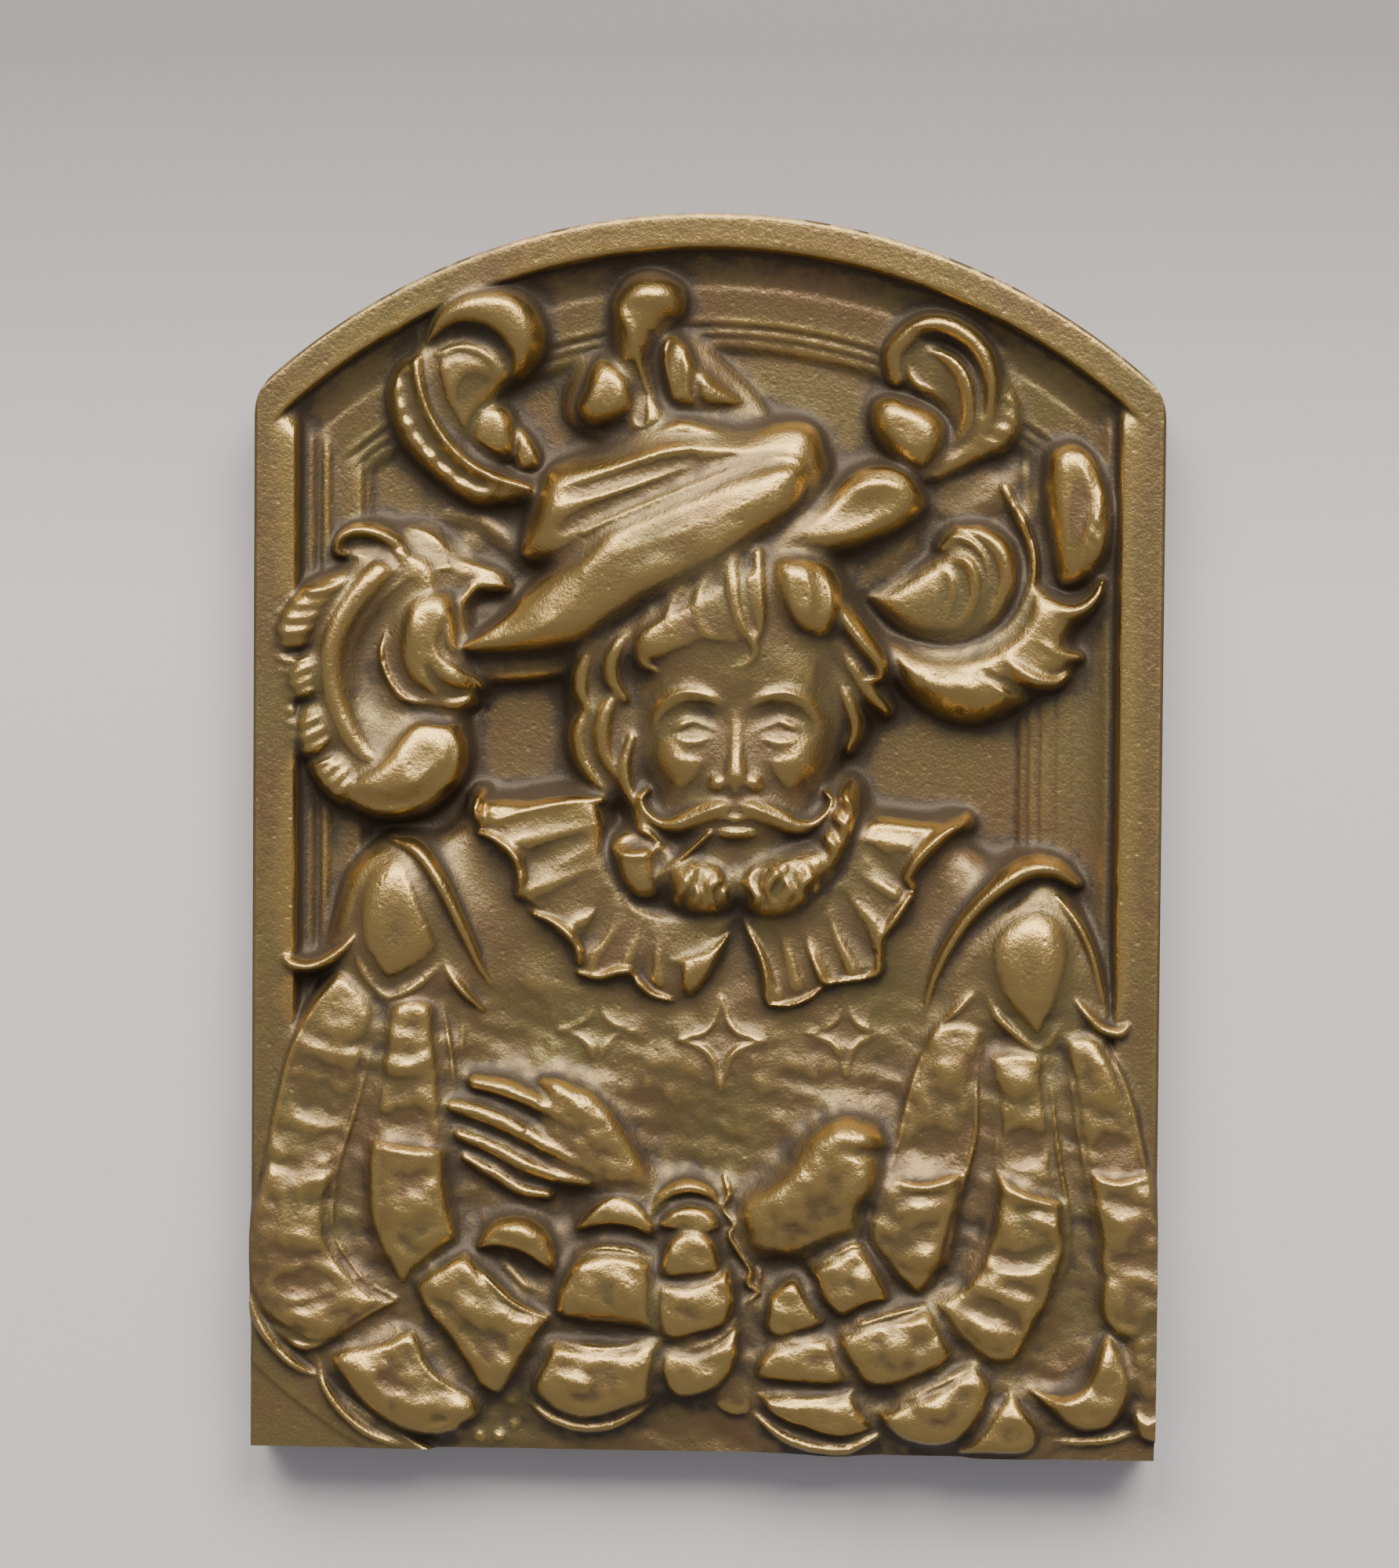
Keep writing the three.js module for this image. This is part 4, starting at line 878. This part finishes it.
  relief.limb([[5.6, 71, 1, 20], [7, 66.4, 1.3, 22], [5.4, 63, 1.3, 22], [8.4, 59, 1.3, 22.4],
    [7.2, 56.4, 1.3, 22.4], [9.6, 52, 1.3, 22.4], [12.6, 47.2, 1.3, 22], [11.8, 44, 1.3, 22],
    [14.6, 41.6, 1.3, 21.6], [11, 38.4, 1.1, 20.6], [12, 34, 0.9, 19]], 15, 1.2);
  relief.limb([[12, 52, 1, 19], [15, 46, 1.2, 20], [13, 40, 1.2, 20], [16, 35, 1, 19]], 14, 1.2);
  relief.slab([[3.6, 15.5], [5.5, 20.2], [11.4, 20.8], [14.4, 16.5], [13.8, 10.3], [8.1, 8.8], [3, 11.9]],
    18.5, 1.9, 12, 1.6, [0, 0], 1.2);
  // bands at the right hand
  relief.slab([[26.2, 48.6], [33.2, 52.6], [38.9, 55.8], [44.4, 51.1], [47.8, 44.2], [48.7, 39.7],
    [42.6, 38.4], [36, 35], [30.6, 38.9], [28.4, 44.8]], 23.6, 2.7, 13, 2.8, [0, 0], 1.0);
  relief.limb([[27.6, 48.8, 1, 22], [33.8, 51.8, 1.5, 24.8], [39, 54.4, 1.4, 24.8], [43, 51, 1, 23]], 17,
    1.4);
  relief.bump(41, 46, 3, 4, 0.8, 20);
  relief.slab([[16.7, 42.1], [23.9, 46.8], [28.6, 40.5], [32.8, 34.3], [27.4, 31.2], [20, 29.2],
    [15.2, 32.4], [15.8, 38.1]], 22.4, 2.6, 13, 2.3, [0, 0], 1.0);
  relief.limb([[32.6, 32.8, 1.1, 19], [40, 35.8, 2, 20.4], [48, 39.2, 2, 20.2], [55, 41.4, 1.3, 19]], 14,
    1.3);
  relief.slab([[33.4, 31.7], [39.8, 35.4], [46.9, 37.4], [52.9, 38.2], [57.8, 40.4], [62, 34.6], [65, 27],
    [61.7, 22.6], [55.6, 19.6], [48, 17.2], [41, 18.2], [36.2, 24.2]], 23.2, 3.2, 13, 3, [0, 0], 1.0);
  relief.limb([[34.6, 31.8, 1, 21.6], [41, 34.6, 1.5, 24.4], [48, 36.8, 1.6, 24.8], [57, 39.2, 1.1, 23]],
    17, 1.4);
  relief.bump(50, 29, 5, 5, 1.0, -30);
  relief.slab([[15.1, 27.3], [23.9, 30.6], [32.2, 31.2], [36.6, 25.4], [37.7, 18.7], [30, 17.6],
    [19.9, 18.2], [13, 19.8]], 22.4, 2.7, 13, 2.3, [0, 0], 1.0);
  relief.limb([[15, 26.8, 1, 21], [23.6, 29.4, 1.5, 23.6], [32, 29.8, 1.2, 22.6]], 16, 1.4);
  relief.slab([[14.3, 15.9], [25, 16.2], [32, 16.6], [38.8, 17.6], [42, 12.6], [45, 7.9], [40.1, 5],
    [34, 4.4], [27.9, 6], [18.5, 9.6]], 22.4, 2.7, 13, 2.3, [0, 0], 1.0);
  relief.limb([[15, 15.4, 1, 21], [25, 15, 1.4, 23.6], [32, 15.4, 1.4, 23.8], [38.6, 16.8, 1, 22.4]], 16,
    1.4);
  relief.limb([[13, 11, 1.3, 18.5], [21, 5, 2.3, 21], [30, 2.2, 2.5, 21.6], [38, 2.4, 2.5, 21.6],
    [45, 5.6, 1.7, 20.2]], 13, 1.4);
  relief.slab([[44.4, 11.8], [54.8, 17.8], [62.8, 21.8], [69.2, 26.2], [74.4, 20.8], [74, 14.3],
    [70.5, 7.7], [64.8, 3.4], [57, 2.4], [48.7, 5]], 22.8, 3.4, 13, 3, [0, 0], 1.0);
  relief.limb([[45.6, 11.6, 1.1, 21], [55, 16.6, 1.6, 24], [63, 20.8, 1.7, 24.4], [69.4, 24.6, 1.1, 22.6]],
    17, 1.4);
  relief.bump(60, 14, 5, 4, 1.0, 30);
  relief.slab([[69.2, 6.9], [74.2, 14.3], [78.8, 19], [82.6, 14.9], [87, 8.1], [84.2, 1.2], [74, 0.4],
    [64.6, 1.1]], 21.6, 2.9, 13, 2.3, [0, 0], 1.0);
  relief.limb([[74, 14, 1.1, 20], [78.6, 12, 1.6, 22.4], [83, 5, 1.2, 21]], 16, 1.4);
  relief.limb([[41, 17.2, 1.2, 18], [48, 16.6, 1.9, 19.6], [56, 19.8, 2, 20.4], [67, 26.8, 1.3, 19]], 14,
    1.3);
}

function rightSleeve(relief) {
  // first panel: upper part, then the lower puff under a ledge
  relief.slab([[58.4, 111.6], [53.3, 100.2], [50.3, 90.2], [48.7, 80.1], [47, 71.6], [56, 68.3],
    [67.5, 71.5], [69.7, 79.9], [70.3, 90], [70.7, 100], [71.5, 110.5]], 19.4, 3.2, 12, 1.8, [0, 0], 1.2);
  relief.slab([[46.6, 74.2], [56, 72.3], [66.9, 74.8], [66.7, 65.9], [64.1, 56.8], [62.6, 49.7],
    [57.5, 42.1], [54.4, 40.7], [49.1, 44.9], [44.4, 50.6], [41.3, 55.9], [42.3, 63.2]], 21.8, 3.2, 12, 2.8,
    [0, -0.02], 1.2);
  relief.line([[47.6, 71.8, 1.5, 0.5], [56, 69.6, 1.8, 1.3], [65.6, 72.2, 1.5, 0.6]]);
  relief.bump(62, 98, 5, 8, 1.0, 20);
  relief.bump(57.6, 79, 8, 6, -2.2, 20);
  relief.line([[47.6, 68.6, 1.8, 0.4], [54.6, 69.8, 2.2, 1.4], [62.6, 71.6, 1.8, 0.8]]);
  relief.bump(54, 63, 7, 5, 1.4, 10);
  relief.bump(56, 52, 6, 5, 1.0);
  relief.limb([[70.8, 109, 0.9, 18.6], [69.2, 96, 1.3, 21], [69, 83, 1.4, 21.6], [66.8, 73, 1.4, 22],
    [64.2, 63, 1.4, 22], [62.2, 52, 1.3, 21.4], [57.4, 43.6, 1, 20.4]], 14, 1.3);
  relief.limb([[58.6, 109, 1, 18.4], [54.4, 99.4, 1.3, 20], [51.6, 89, 1.3, 20.4], [49.4, 79, 1.3, 20.6],
    [46.6, 70, 1.2, 20.8]], 14, 1.4);
  // the slit between the panels, with a loose strip in it
  relief.limb([[71, 96, 1, 15.6], [70.6, 84, 1.3, 16.4], [69, 72, 1.8, 17], [67.6, 62, 1.9, 17.4],
    [64.6, 52, 1.7, 17.4], [60, 44, 1, 17]], 12, 1.2);
  relief.bump(68.6, 61.6, 1, 3.4, 1.2);
  // middle panel
  relief.slab([[71.1, 103.5], [72.7, 91.9], [73.5, 82], [73.2, 73.7], [79.7, 67], [91, 64], [90.3, 75.1],
    [89.3, 85.1], [87.9, 95.1], [85.9, 104.6]], 19.6, 3.2, 12, 2.1, [0, 0], 1.2);
  relief.slab([[73.5, 75.9], [81.3, 71], [92.1, 67.5], [93.7, 60.1], [94.1, 53.9], [92.1, 46.8], [90, 39.7],
    [87.2, 35.7], [84.2, 29.3], [80.4, 23.8], [73.8, 22.9], [66.6, 27.1], [60.1, 34.2], [55.7, 40.8],
    [62.2, 43.6], [67.4, 48.4], [69.9, 54.2], [71.9, 62.1]], 21.8, 4, 12, 3.2, [0, -0.01], 1.2);
  relief.line([[74.4, 73.4, 1.5, 0.5], [81, 68.8, 1.9, 1.5], [90.6, 65.6, 1.5, 0.7]]);
  relief.bump(79, 97, 6, 7, 1.2, 0);
  relief.bump(81, 79.6, 7.6, 6, -2.4, 20);
  relief.line([[74.4, 71.6, 1.6, 0.4], [80, 67.6, 2, 1.4], [89.6, 65.8, 1.6, 0.8]]);
  relief.line([[72, 54, 2, -0.3], [80, 51, 2.8, -1.2], [90, 55, 2, -0.4]]);
  relief.line([[67, 46.6, 2.2, 0.4], [76, 43.6, 2.6, 1.3], [85.6, 38.4, 2.2, 0.7]]);
  relief.bump(84.6, 61.6, 4.6, 3, 1.1, -20);
  relief.bump(89, 60, 2, 4.4, 1.0, 0);
  relief.bump(77, 61, 5, 7, 0.9);
  relief.bump(80, 47.6, 8, 3, 0.9, 8);
  relief.bump(73, 33, 7, 3.8, 1.0, -35);
  relief.bump(83, 36, 3.4, 4, 1.0, 20);
  relief.limb([[86.2, 104, 0.9, 18.4], [88.2, 92, 1.2, 20.8], [89.8, 79, 1.3, 21.4], [92, 66, 1.3, 21.8],
    [93, 55, 1.2, 21.4], [90.8, 46, 1.2, 21], [86.6, 37, 1.1, 20.6]], 14, 1.3);
  relief.limb([[72, 102, 0.9, 18.4], [73.8, 90, 1.1, 20], [74.4, 79, 1.1, 20.4], [73.4, 66, 1.1, 20.6],
    [70.6, 54, 1.1, 20.6], [66, 46, 1, 20.4], [58, 41.2, 0.9, 20]], 14, 1.3);
  // the second slit
  relief.limb([[88.6, 100, 1, 15.6], [90.6, 86, 1.4, 16.6], [93, 74, 2, 17.2], [95.4, 64, 2.2, 17.4],
    [96.4, 56, 1.6, 17]], 12, 1.2);
  relief.bump(94, 68, 1.5, 1.5, 1);
  relief.bump(96.4, 63, 1.4, 1.4, 1);
  relief.bump(92.6, 76, 1.2, 1.6, 0.8);
  relief.bump(93.6, 57, 1.4, 2, -1.4);
  relief.limb([[95, 52, 1, 18.6], [98.4, 49, 1.5, 20.2], [100.6, 43.6, 1.5, 20.4], [100, 37, 1.5, 20.4],
    [98, 30.6, 1.5, 20.4], [95, 25, 1.4, 20], [90, 22.2, 1.3, 19.4], [83, 21.6, 1.1, 18.4]], 13, 1.2);
  relief.limb([[92.6, 48, 1, 17.6], [94.6, 42, 1.3, 18.6], [93.6, 34, 1.3, 18.6], [89.6, 28.4, 1.1, 18],
    [85, 26, 0.9, 17]], 13, 1.2);
  relief.limb([[97.4, 46, 0.8, 17], [96.6, 39, 1, 18], [95.4, 33, 0.8, 17]], 13, 1.2);
  // outer panel
  relief.slab([[90, 107.3], [92.1, 94.9], [93.3, 84.9], [95.2, 74.6], [102.8, 68.9], [113.5, 70.6],
    [112.3, 80.1], [109.7, 90.2], [106.2, 98.3], [100, 108.6]], 20, 3.2, 12, 2.1, [0, 0], 1.2);
  relief.slab([[96.5, 76.5], [104, 73.7], [114, 75.6], [116.7, 64.1], [118.7, 54], [117.4, 45.4],
    [106, 43.9], [99.4, 46.7], [98.9, 55.9], [97.3, 65.9]], 22, 3.2, 12, 2.5, [0, 0], 1.2);
  relief.line([[97, 74, 1.4, 0.4], [104, 71.4, 1.8, 1.3], [112.4, 73, 1.4, 0.6]]);
  relief.bump(106, 60, 6, 6, 1.2);
  relief.bump(102, 96, 5, 8, 1.2, 15);
  relief.bump(103, 79.6, 6, 5, -1.6);
  relief.limb([[99.4, 108, 1, 18.6], [105, 98.6, 1.4, 21.2], [108.4, 89, 1.4, 21.8], [110.6, 79, 1.4, 22],
    [112.6, 69, 1.4, 22], [114.4, 60, 1.3, 21.8]], 14, 1.3);
  relief.limb([[91.2, 106, 0.9, 18.4], [93.2, 95, 1.2, 20.8], [94.8, 84, 1.3, 21.2], [96.8, 74, 1.3, 21.6],
    [98.8, 64, 1.3, 21.4], [100.4, 54, 1.1, 21]], 14, 1.3);
  relief.slab([[100.2, 49.2], [107, 51.4], [117.9, 50.9], [119, 40], [117.9, 31.3], [110, 30], [103.3, 32],
    [99.2, 37.9]], 22, 3.2, 13, 2.8, [0, 0], 1.0);
  relief.slab([[80.5, 20], [90, 18.6], [96.1, 21.7], [98.8, 29.6], [103.1, 34.4], [109.4, 26.2],
    [110.4, 17.9], [105.9, 9.3], [97, 6.6], [89.7, 10.1]], 23, 3.7, 13, 3.2, [0, 0], 1.0);
  relief.slab([[108.1, 33.9], [118.4, 36.3], [120.4, 17.9], [110.8, 13.6], [107, 23.9]], 22, 2.9, 13, 2.3,
    [0, 0], 1.0);
  relief.slab([[108.2, 16.2], [118.3, 17.9], [120.4, 4.8], [110.3, 5.7]], 21.2, 2.4, 13, 1.8, [0, 0], 1.0);
  relief.line([[110, 12, 1.2, 0.8], [112.6, 10, 1.4, 1.2], [115, 11, 1.2, 0.8]]);
  relief.bump(93, 16, 5, 4, 0.8);
  relief.bump(101, 24, 4, 5, 0.8, -20);
  relief.limb([[88, 4.6, 1.2, 18.5], [97, 4.8, 2, 20.4], [105, 5.8, 2, 20.4], [112, 8.6, 1.3, 19]], 13,
    1.3);
  relief.limb([[84, 11, 1, 18], [89, 7.4, 1.4, 19.4], [94, 9, 1, 18.6]], 13, 1.3);
}

function hands(relief) {
  // left hand, seen from the back, four fingers out to the left
  relief.slab([[-9.6, 69], [-15.6, 79], [-19.6, 86], [-23.6, 91], [-29, 94.6], [-36, 96.6], [-41, 94],
    [-42, 88], [-41, 80], [-40, 72], [-34, 67.6], [-27, 66], [-19, 64.6], [-11, 63.6]], 22.2, 4.4, 14, 2.4,
    [0.0, 0.1], 1.4);
  relief.limb([[-57.6, 94, 2.6, 22.4], [-50.6, 92.8, 3.2, 24.4], [-43, 90.2, 3.4, 25.2],
    [-36, 86.6, 3.5, 25.4], [-28, 82, 3.2, 24.8], [-22, 77.6, 2.2, 23.6]], 15, 1.2);
  relief.limb([[-63.4, 88, 2.6, 22.2], [-55, 86.2, 3.4, 24.2], [-45.6, 82.2, 3.6, 25],
    [-37, 77.8, 3.5, 25.2], [-29, 73.6, 3.0, 24.4], [-23, 71, 2, 23.4]], 15, 1.2);
  relief.limb([[-61.6, 80.8, 2.4, 21.4], [-53, 77.6, 3.0, 23.4], [-44.6, 73.6, 3.2, 24],
    [-36.6, 71, 3.0, 24.2], [-29, 69.4, 2.2, 23.4]], 14.6, 1.2);
  relief.limb([[-60, 75, 2.2, 20.4], [-52.4, 70.8, 2.7, 22], [-46, 67.2, 2.7, 22.4], [-39, 66, 2.2, 22.2]],
    14, 1.2);
  relief.limb([[-40, 94, 2.2, 22.6], [-36, 92.6, 3.2, 25.2], [-31.4, 89, 3.0, 25.2],
    [-26, 84.6, 2.4, 24.4]], 17, 1.4);
  relief.bump(-43.6, 90.6, 2.6, 2.4, 0.7);
  relief.bump(-46, 82.6, 2.8, 2.6, 0.7);
  for (const [x, z] of [
    [-30, 83.4],
    [-24.6, 83.6],
    [-33.6, 86.4],
    [-40, 89.6],
  ]) {
    relief.bump(x, z, 1.0, 0.9, -1.0);
  }
  relief.line([[-18, 66, 3, -0.8], [-13, 72, 3.4, -1.2], [-10, 78, 3, -0.6]]);
  // right hand, a closed fist with the cuff round its wrist
  relief.slab([[8, 66], [14.6, 71], [19.6, 75.4], [23.2, 81], [28, 85.6], [34, 88.8], [39, 88.8],
    [44.8, 86], [48, 80.8], [46.8, 76.8], [48, 72], [46.4, 67], [43, 62.4], [42, 57], [40, 55], [32, 52],
    [25, 49.6], [15, 49.4], [9, 52]], 23.6, 6.5, 14, 4.4, [0.06, 0.05], 1.2);
  relief.line([[36.6, 78.8, 1.5, -0.8], [41, 78.2, 1.8, -2.0], [46.8, 77.4, 1.5, -1.6]]);
  relief.bump(33, 82, 7, 5, 0.9, 20);
  relief.bump(39, 70, 6, 6, 0.9, 0);
}

function carve(relief) {
  topAndRightPlumes(relief);
  leftPlume(relief);
  costume(relief);
  leftSleeve(relief);
  rightSleeve(relief);
  hands(relief);
  ruff(relief);
  head(relief);
  face(relief);
  hairAndBeard(relief);
  hat(relief);
}

// ---- the net of points over the face: columns across, rows that bend up to the arch
function topOf(x) {
  const out = Math.abs(x);
  const meet = ARCH_RADIUS * Math.cos(SHOULDER_ANGLE);
  if (out <= meet) return ARCH_CENTRE + Math.sqrt(ARCH_RADIUS ** 2 - out ** 2);
  return SHOULDER_Z + Math.sqrt(Math.max(SHOULDER_RADIUS ** 2 - (out - SHOULDER_X) ** 2, 0));
}

function columns() {
  const meet = ARCH_RADIUS * Math.cos(SHOULDER_ANGLE);
  const half = [];
  const across = Math.round(meet / CELL);
  for (let i = 1; i <= across; i += 1) half.push(meet * i / across);
  const steps = 6;
  for (let i = 1; i <= steps; i += 1) {
    half.push(SHOULDER_X + SHOULDER_RADIUS * Math.cos(SHOULDER_ANGLE * (1 - i / steps)));
  }
  return [...half.map((x) => -x).reverse(), 0, ...half];
}

// front, back and edge as one closed net of triangles, corners as [x, y, z]
function closedNet() {
  const xs = columns();
  const rows = Math.round(HEIGHT / CELL);
  const face = [];
  for (let j = 0; j <= rows; j += 1) {
    for (const x of xs) face.push([x, topOf(x) * j / rows]);
  }
  const relief = new Relief(face);
  carve(relief);
  const wide = xs.length;
  const size = face.length;
  const front = face.map(([x, z], index) => [x, -Math.max(relief.level[index], LEAST_LEVEL), z - HEIGHT / 2]);
  const back = face.map(([x, z]) => [x, 0, z - HEIGHT / 2]);
  const triangles = [];
  for (let j = 0; j < rows; j += 1) {
    for (let i = 0; i < wide - 1; i += 1) {
      const a = j * wide + i;
      const [b, c, d] = [a + 1, a + wide + 1, a + wide];
      // the diagonal follows the smaller step, so that creases stay clean
      const flip = Math.abs(front[a][1] - front[c][1]) > Math.abs(front[b][1] - front[d][1]);
      const halves = flip ? [[a, b, d], [b, c, d]] : [[a, b, c], [a, c, d]];
      for (const [p, q, r] of halves) {
        triangles.push([p, q, r], [p + size, r + size, q + size]);
      }
    }
  }
  const edge = [];
  for (let i = 0; i < wide - 1; i += 1) edge.push(i);
  for (let j = 0; j < rows; j += 1) edge.push(j * wide + wide - 1);
  for (let i = wide - 1; i > 0; i -= 1) edge.push(rows * wide + i);
  for (let j = rows; j > 0; j -= 1) edge.push(j * wide);
  edge.forEach((a, k) => {
    const b = edge[(k + 1) % edge.length];
    triangles.push([a, a + size, b + size], [a, b + size, b]);
  });
  return { corners: [...front, ...back], triangles };
}

// ---- thinning: edges are folded away, cheapest first, by the squared distance to the planes they leave
const cross = (u, v) => [u[1] * v[2] - u[2] * v[1], u[2] * v[0] - u[0] * v[2], u[0] * v[1] - u[1] * v[0]];
const minus = (u, v) => [u[0] - v[0], u[1] - v[1], u[2] - v[2]];
const dot = (u, v) => u[0] * v[0] + u[1] * v[1] + u[2] * v[2];

class Heap {
  constructor() {
    this.items = [];
  }

  push(item) {
    const items = this.items;
    items.push(item);
    let i = items.length - 1;
    while (i > 0) {
      const parent = (i - 1) >> 1;
      if (items[parent].cost <= items[i].cost) break;
      [items[parent], items[i]] = [items[i], items[parent]];
      i = parent;
    }
  }

  pop() {
    const items = this.items;
    const top = items[0];
    const last = items.pop();
    if (items.length > 0) {
      items[0] = last;
      let i = 0;
      for (;;) {
        const left = 2 * i + 1;
        let least = i;
        if (left < items.length && items[left].cost < items[least].cost) least = left;
        if (left + 1 < items.length && items[left + 1].cost < items[least].cost) least = left + 1;
        if (least === i) break;
        [items[least], items[i]] = [items[i], items[least]];
        i = least;
      }
    }
    return top;
  }
}

function thin(net, wanted) {
  const corners = net.corners.map((corner) => [...corner]);
  const triangles = net.triangles.map((triangle) => [...triangle]);
  const alive = new Array(triangles.length).fill(true);
  const stamp = new Int32Array(corners.length);
  const fans = corners.map(() => new Set());
  const planes = corners.map(() => new Float64Array(10));
  triangles.forEach((triangle, index) => triangle.forEach((corner) => fans[corner].add(index)));

  const normalOf = ([a, b, c]) => cross(minus(corners[b], corners[a]), minus(corners[c], corners[a]));
  triangles.forEach((triangle) => {
    const normal = normalOf(triangle);
    const length = Math.hypot(...normal) || 1;
    const [x, y, z] = normal.map((value) => value / length);
    const w = -dot([x, y, z], corners[triangle[0]]);
    const terms = [x * x, x * y, x * z, x * w, y * y, y * z, y * w, z * z, z * w, w * w];
    triangle.forEach((corner) => terms.forEach((term, k) => {
      planes[corner][k] += term * length;
    }));
  });

  const costAt = (q, [x, y, z]) => q[0] * x * x + 2 * q[1] * x * y + 2 * q[2] * x * z + 2 * q[3] * x
    + q[4] * y * y + 2 * q[5] * y * z + 2 * q[6] * y + q[7] * z * z + 2 * q[8] * z + q[9];

  const lowestPoint = (q) => {
    const [a, b, c] = [[q[0], q[1], q[2]], [q[1], q[4], q[5]], [q[2], q[5], q[7]]];
    const bc = cross(b, c);
    const det = dot(a, bc);
    if (Math.abs(det) < 1e-3 * (Math.abs(q[0]) + Math.abs(q[4]) + Math.abs(q[7])) ** 3 * 1e-2) return null;
    const [ca, ab] = [cross(c, a), cross(a, b)];
    const right = [-q[3], -q[6], -q[8]];
    return [0, 1, 2].map((k) => (bc[k] * right[0] + ca[k] * right[1] + ab[k] * right[2]) / det);
  };

  const heap = new Heap();
  const consider = (a, b) => {
    const sum = planes[a].map((value, k) => value + planes[b][k]);
    const middle = corners[a].map((value, k) => (value + corners[b][k]) / 2);
    const choices = [corners[a], corners[b], middle];
    const lowest = lowestPoint(sum);
    const span = Math.hypot(...minus(corners[a], corners[b]));
    if (lowest && Math.hypot(...minus(lowest, middle)) < span) choices.push(lowest);
    let best = choices[0];
    for (const choice of choices) {
      if (costAt(sum, choice) < costAt(sum, best)) best = choice;
    }
    const cost = costAt(sum, best) + 1e-6 * span;
    heap.push({ cost, a, b, place: [...best], stampA: stamp[a], stampB: stamp[b] });
  };

  const neighbours = (corner) => {
    const ring = new Set();
    for (const index of fans[corner]) triangles[index].forEach((other) => ring.add(other));
    ring.delete(corner);
    return ring;
  };

  const wouldFold = (corner, other, place) => {
    for (const index of fans[corner]) {
      const triangle = triangles[index];
      if (triangle.includes(other)) continue;
      const before = normalOf(triangle);
      const moved = triangle.map((c) => (c === corner ? place : corners[c]));
      const after = cross(minus(moved[1], moved[0]), minus(moved[2], moved[0]));
      const [longBefore, longAfter] = [Math.hypot(...before), Math.hypot(...after)];
      const longest = Math.max(...[0, 1, 2].map((k) => Math.hypot(...minus(moved[k], moved[(k + 1) % 3]))));
      if (longAfter < 0.02 * longest * longest) return true;
      if (dot(before, after) < 0.35 * longBefore * longAfter) return true;
    }
    return false;
  };

  corners.forEach((_, a) => {
    for (const b of neighbours(a)) if (a < b) consider(a, b);
  });
  let left = triangles.length;
  while (left > wanted && heap.items.length > 0) {
    const { a, b, place, stampA, stampB } = heap.pop();
    if (stampA !== stamp[a] || stampB !== stamp[b] || fans[a].size === 0 || fans[b].size === 0) continue;
    const [ringA, ringB] = [neighbours(a), neighbours(b)];
    if (!ringA.has(b)) continue;
    const shared = [...ringA].filter((corner) => ringB.has(corner));
    if (shared.length !== 2 || wouldFold(a, b, place) || wouldFold(b, a, place)) continue;
    for (const index of [...fans[b]]) {
      const triangle = triangles[index];
      if (triangle.includes(a)) {
        alive[index] = false;
        left -= 1;
        triangle.forEach((corner) => fans[corner].delete(index));
      } else {
        triangle[triangle.indexOf(b)] = a;
        fans[a].add(index);
      }
    }
    fans[b].clear();
    corners[a] = place;
    planes[a].forEach((_, k) => {
      planes[a][k] += planes[b][k];
    });
    stamp[a] += 1;
    stamp[b] += 1;
    for (const corner of neighbours(a)) consider(a, corner);
  }
  return { corners, triangles: triangles.filter((_, index) => alive[index]) };
}

function geometryOf({ corners, triangles }) {
  const used = new Map();
  const positions = [];
  const index = triangles.flat().map((corner) => {
    if (!used.has(corner)) {
      used.set(corner, used.size);
      positions.push(...corners[corner]);
    }
    return used.get(corner);
  });
  const geometry = new THREE.BufferGeometry();
  geometry.setAttribute('position', new THREE.Float32BufferAttribute(positions, 3));
  geometry.setIndex(index);
  geometry.computeVertexNormals();
  return geometry;
}

const agedBrass = new THREE.MeshStandardMaterial({ color: 0x8a7236, metalness: 1, roughness: 0.42 });
const plaque = new THREE.Mesh(geometryOf(thin(closedNet(), TRIANGLES_WANTED)), agedBrass);
plaque.name = 'relief_plaque';

const group = new THREE.Group();
group.add(plaque);
export default group;
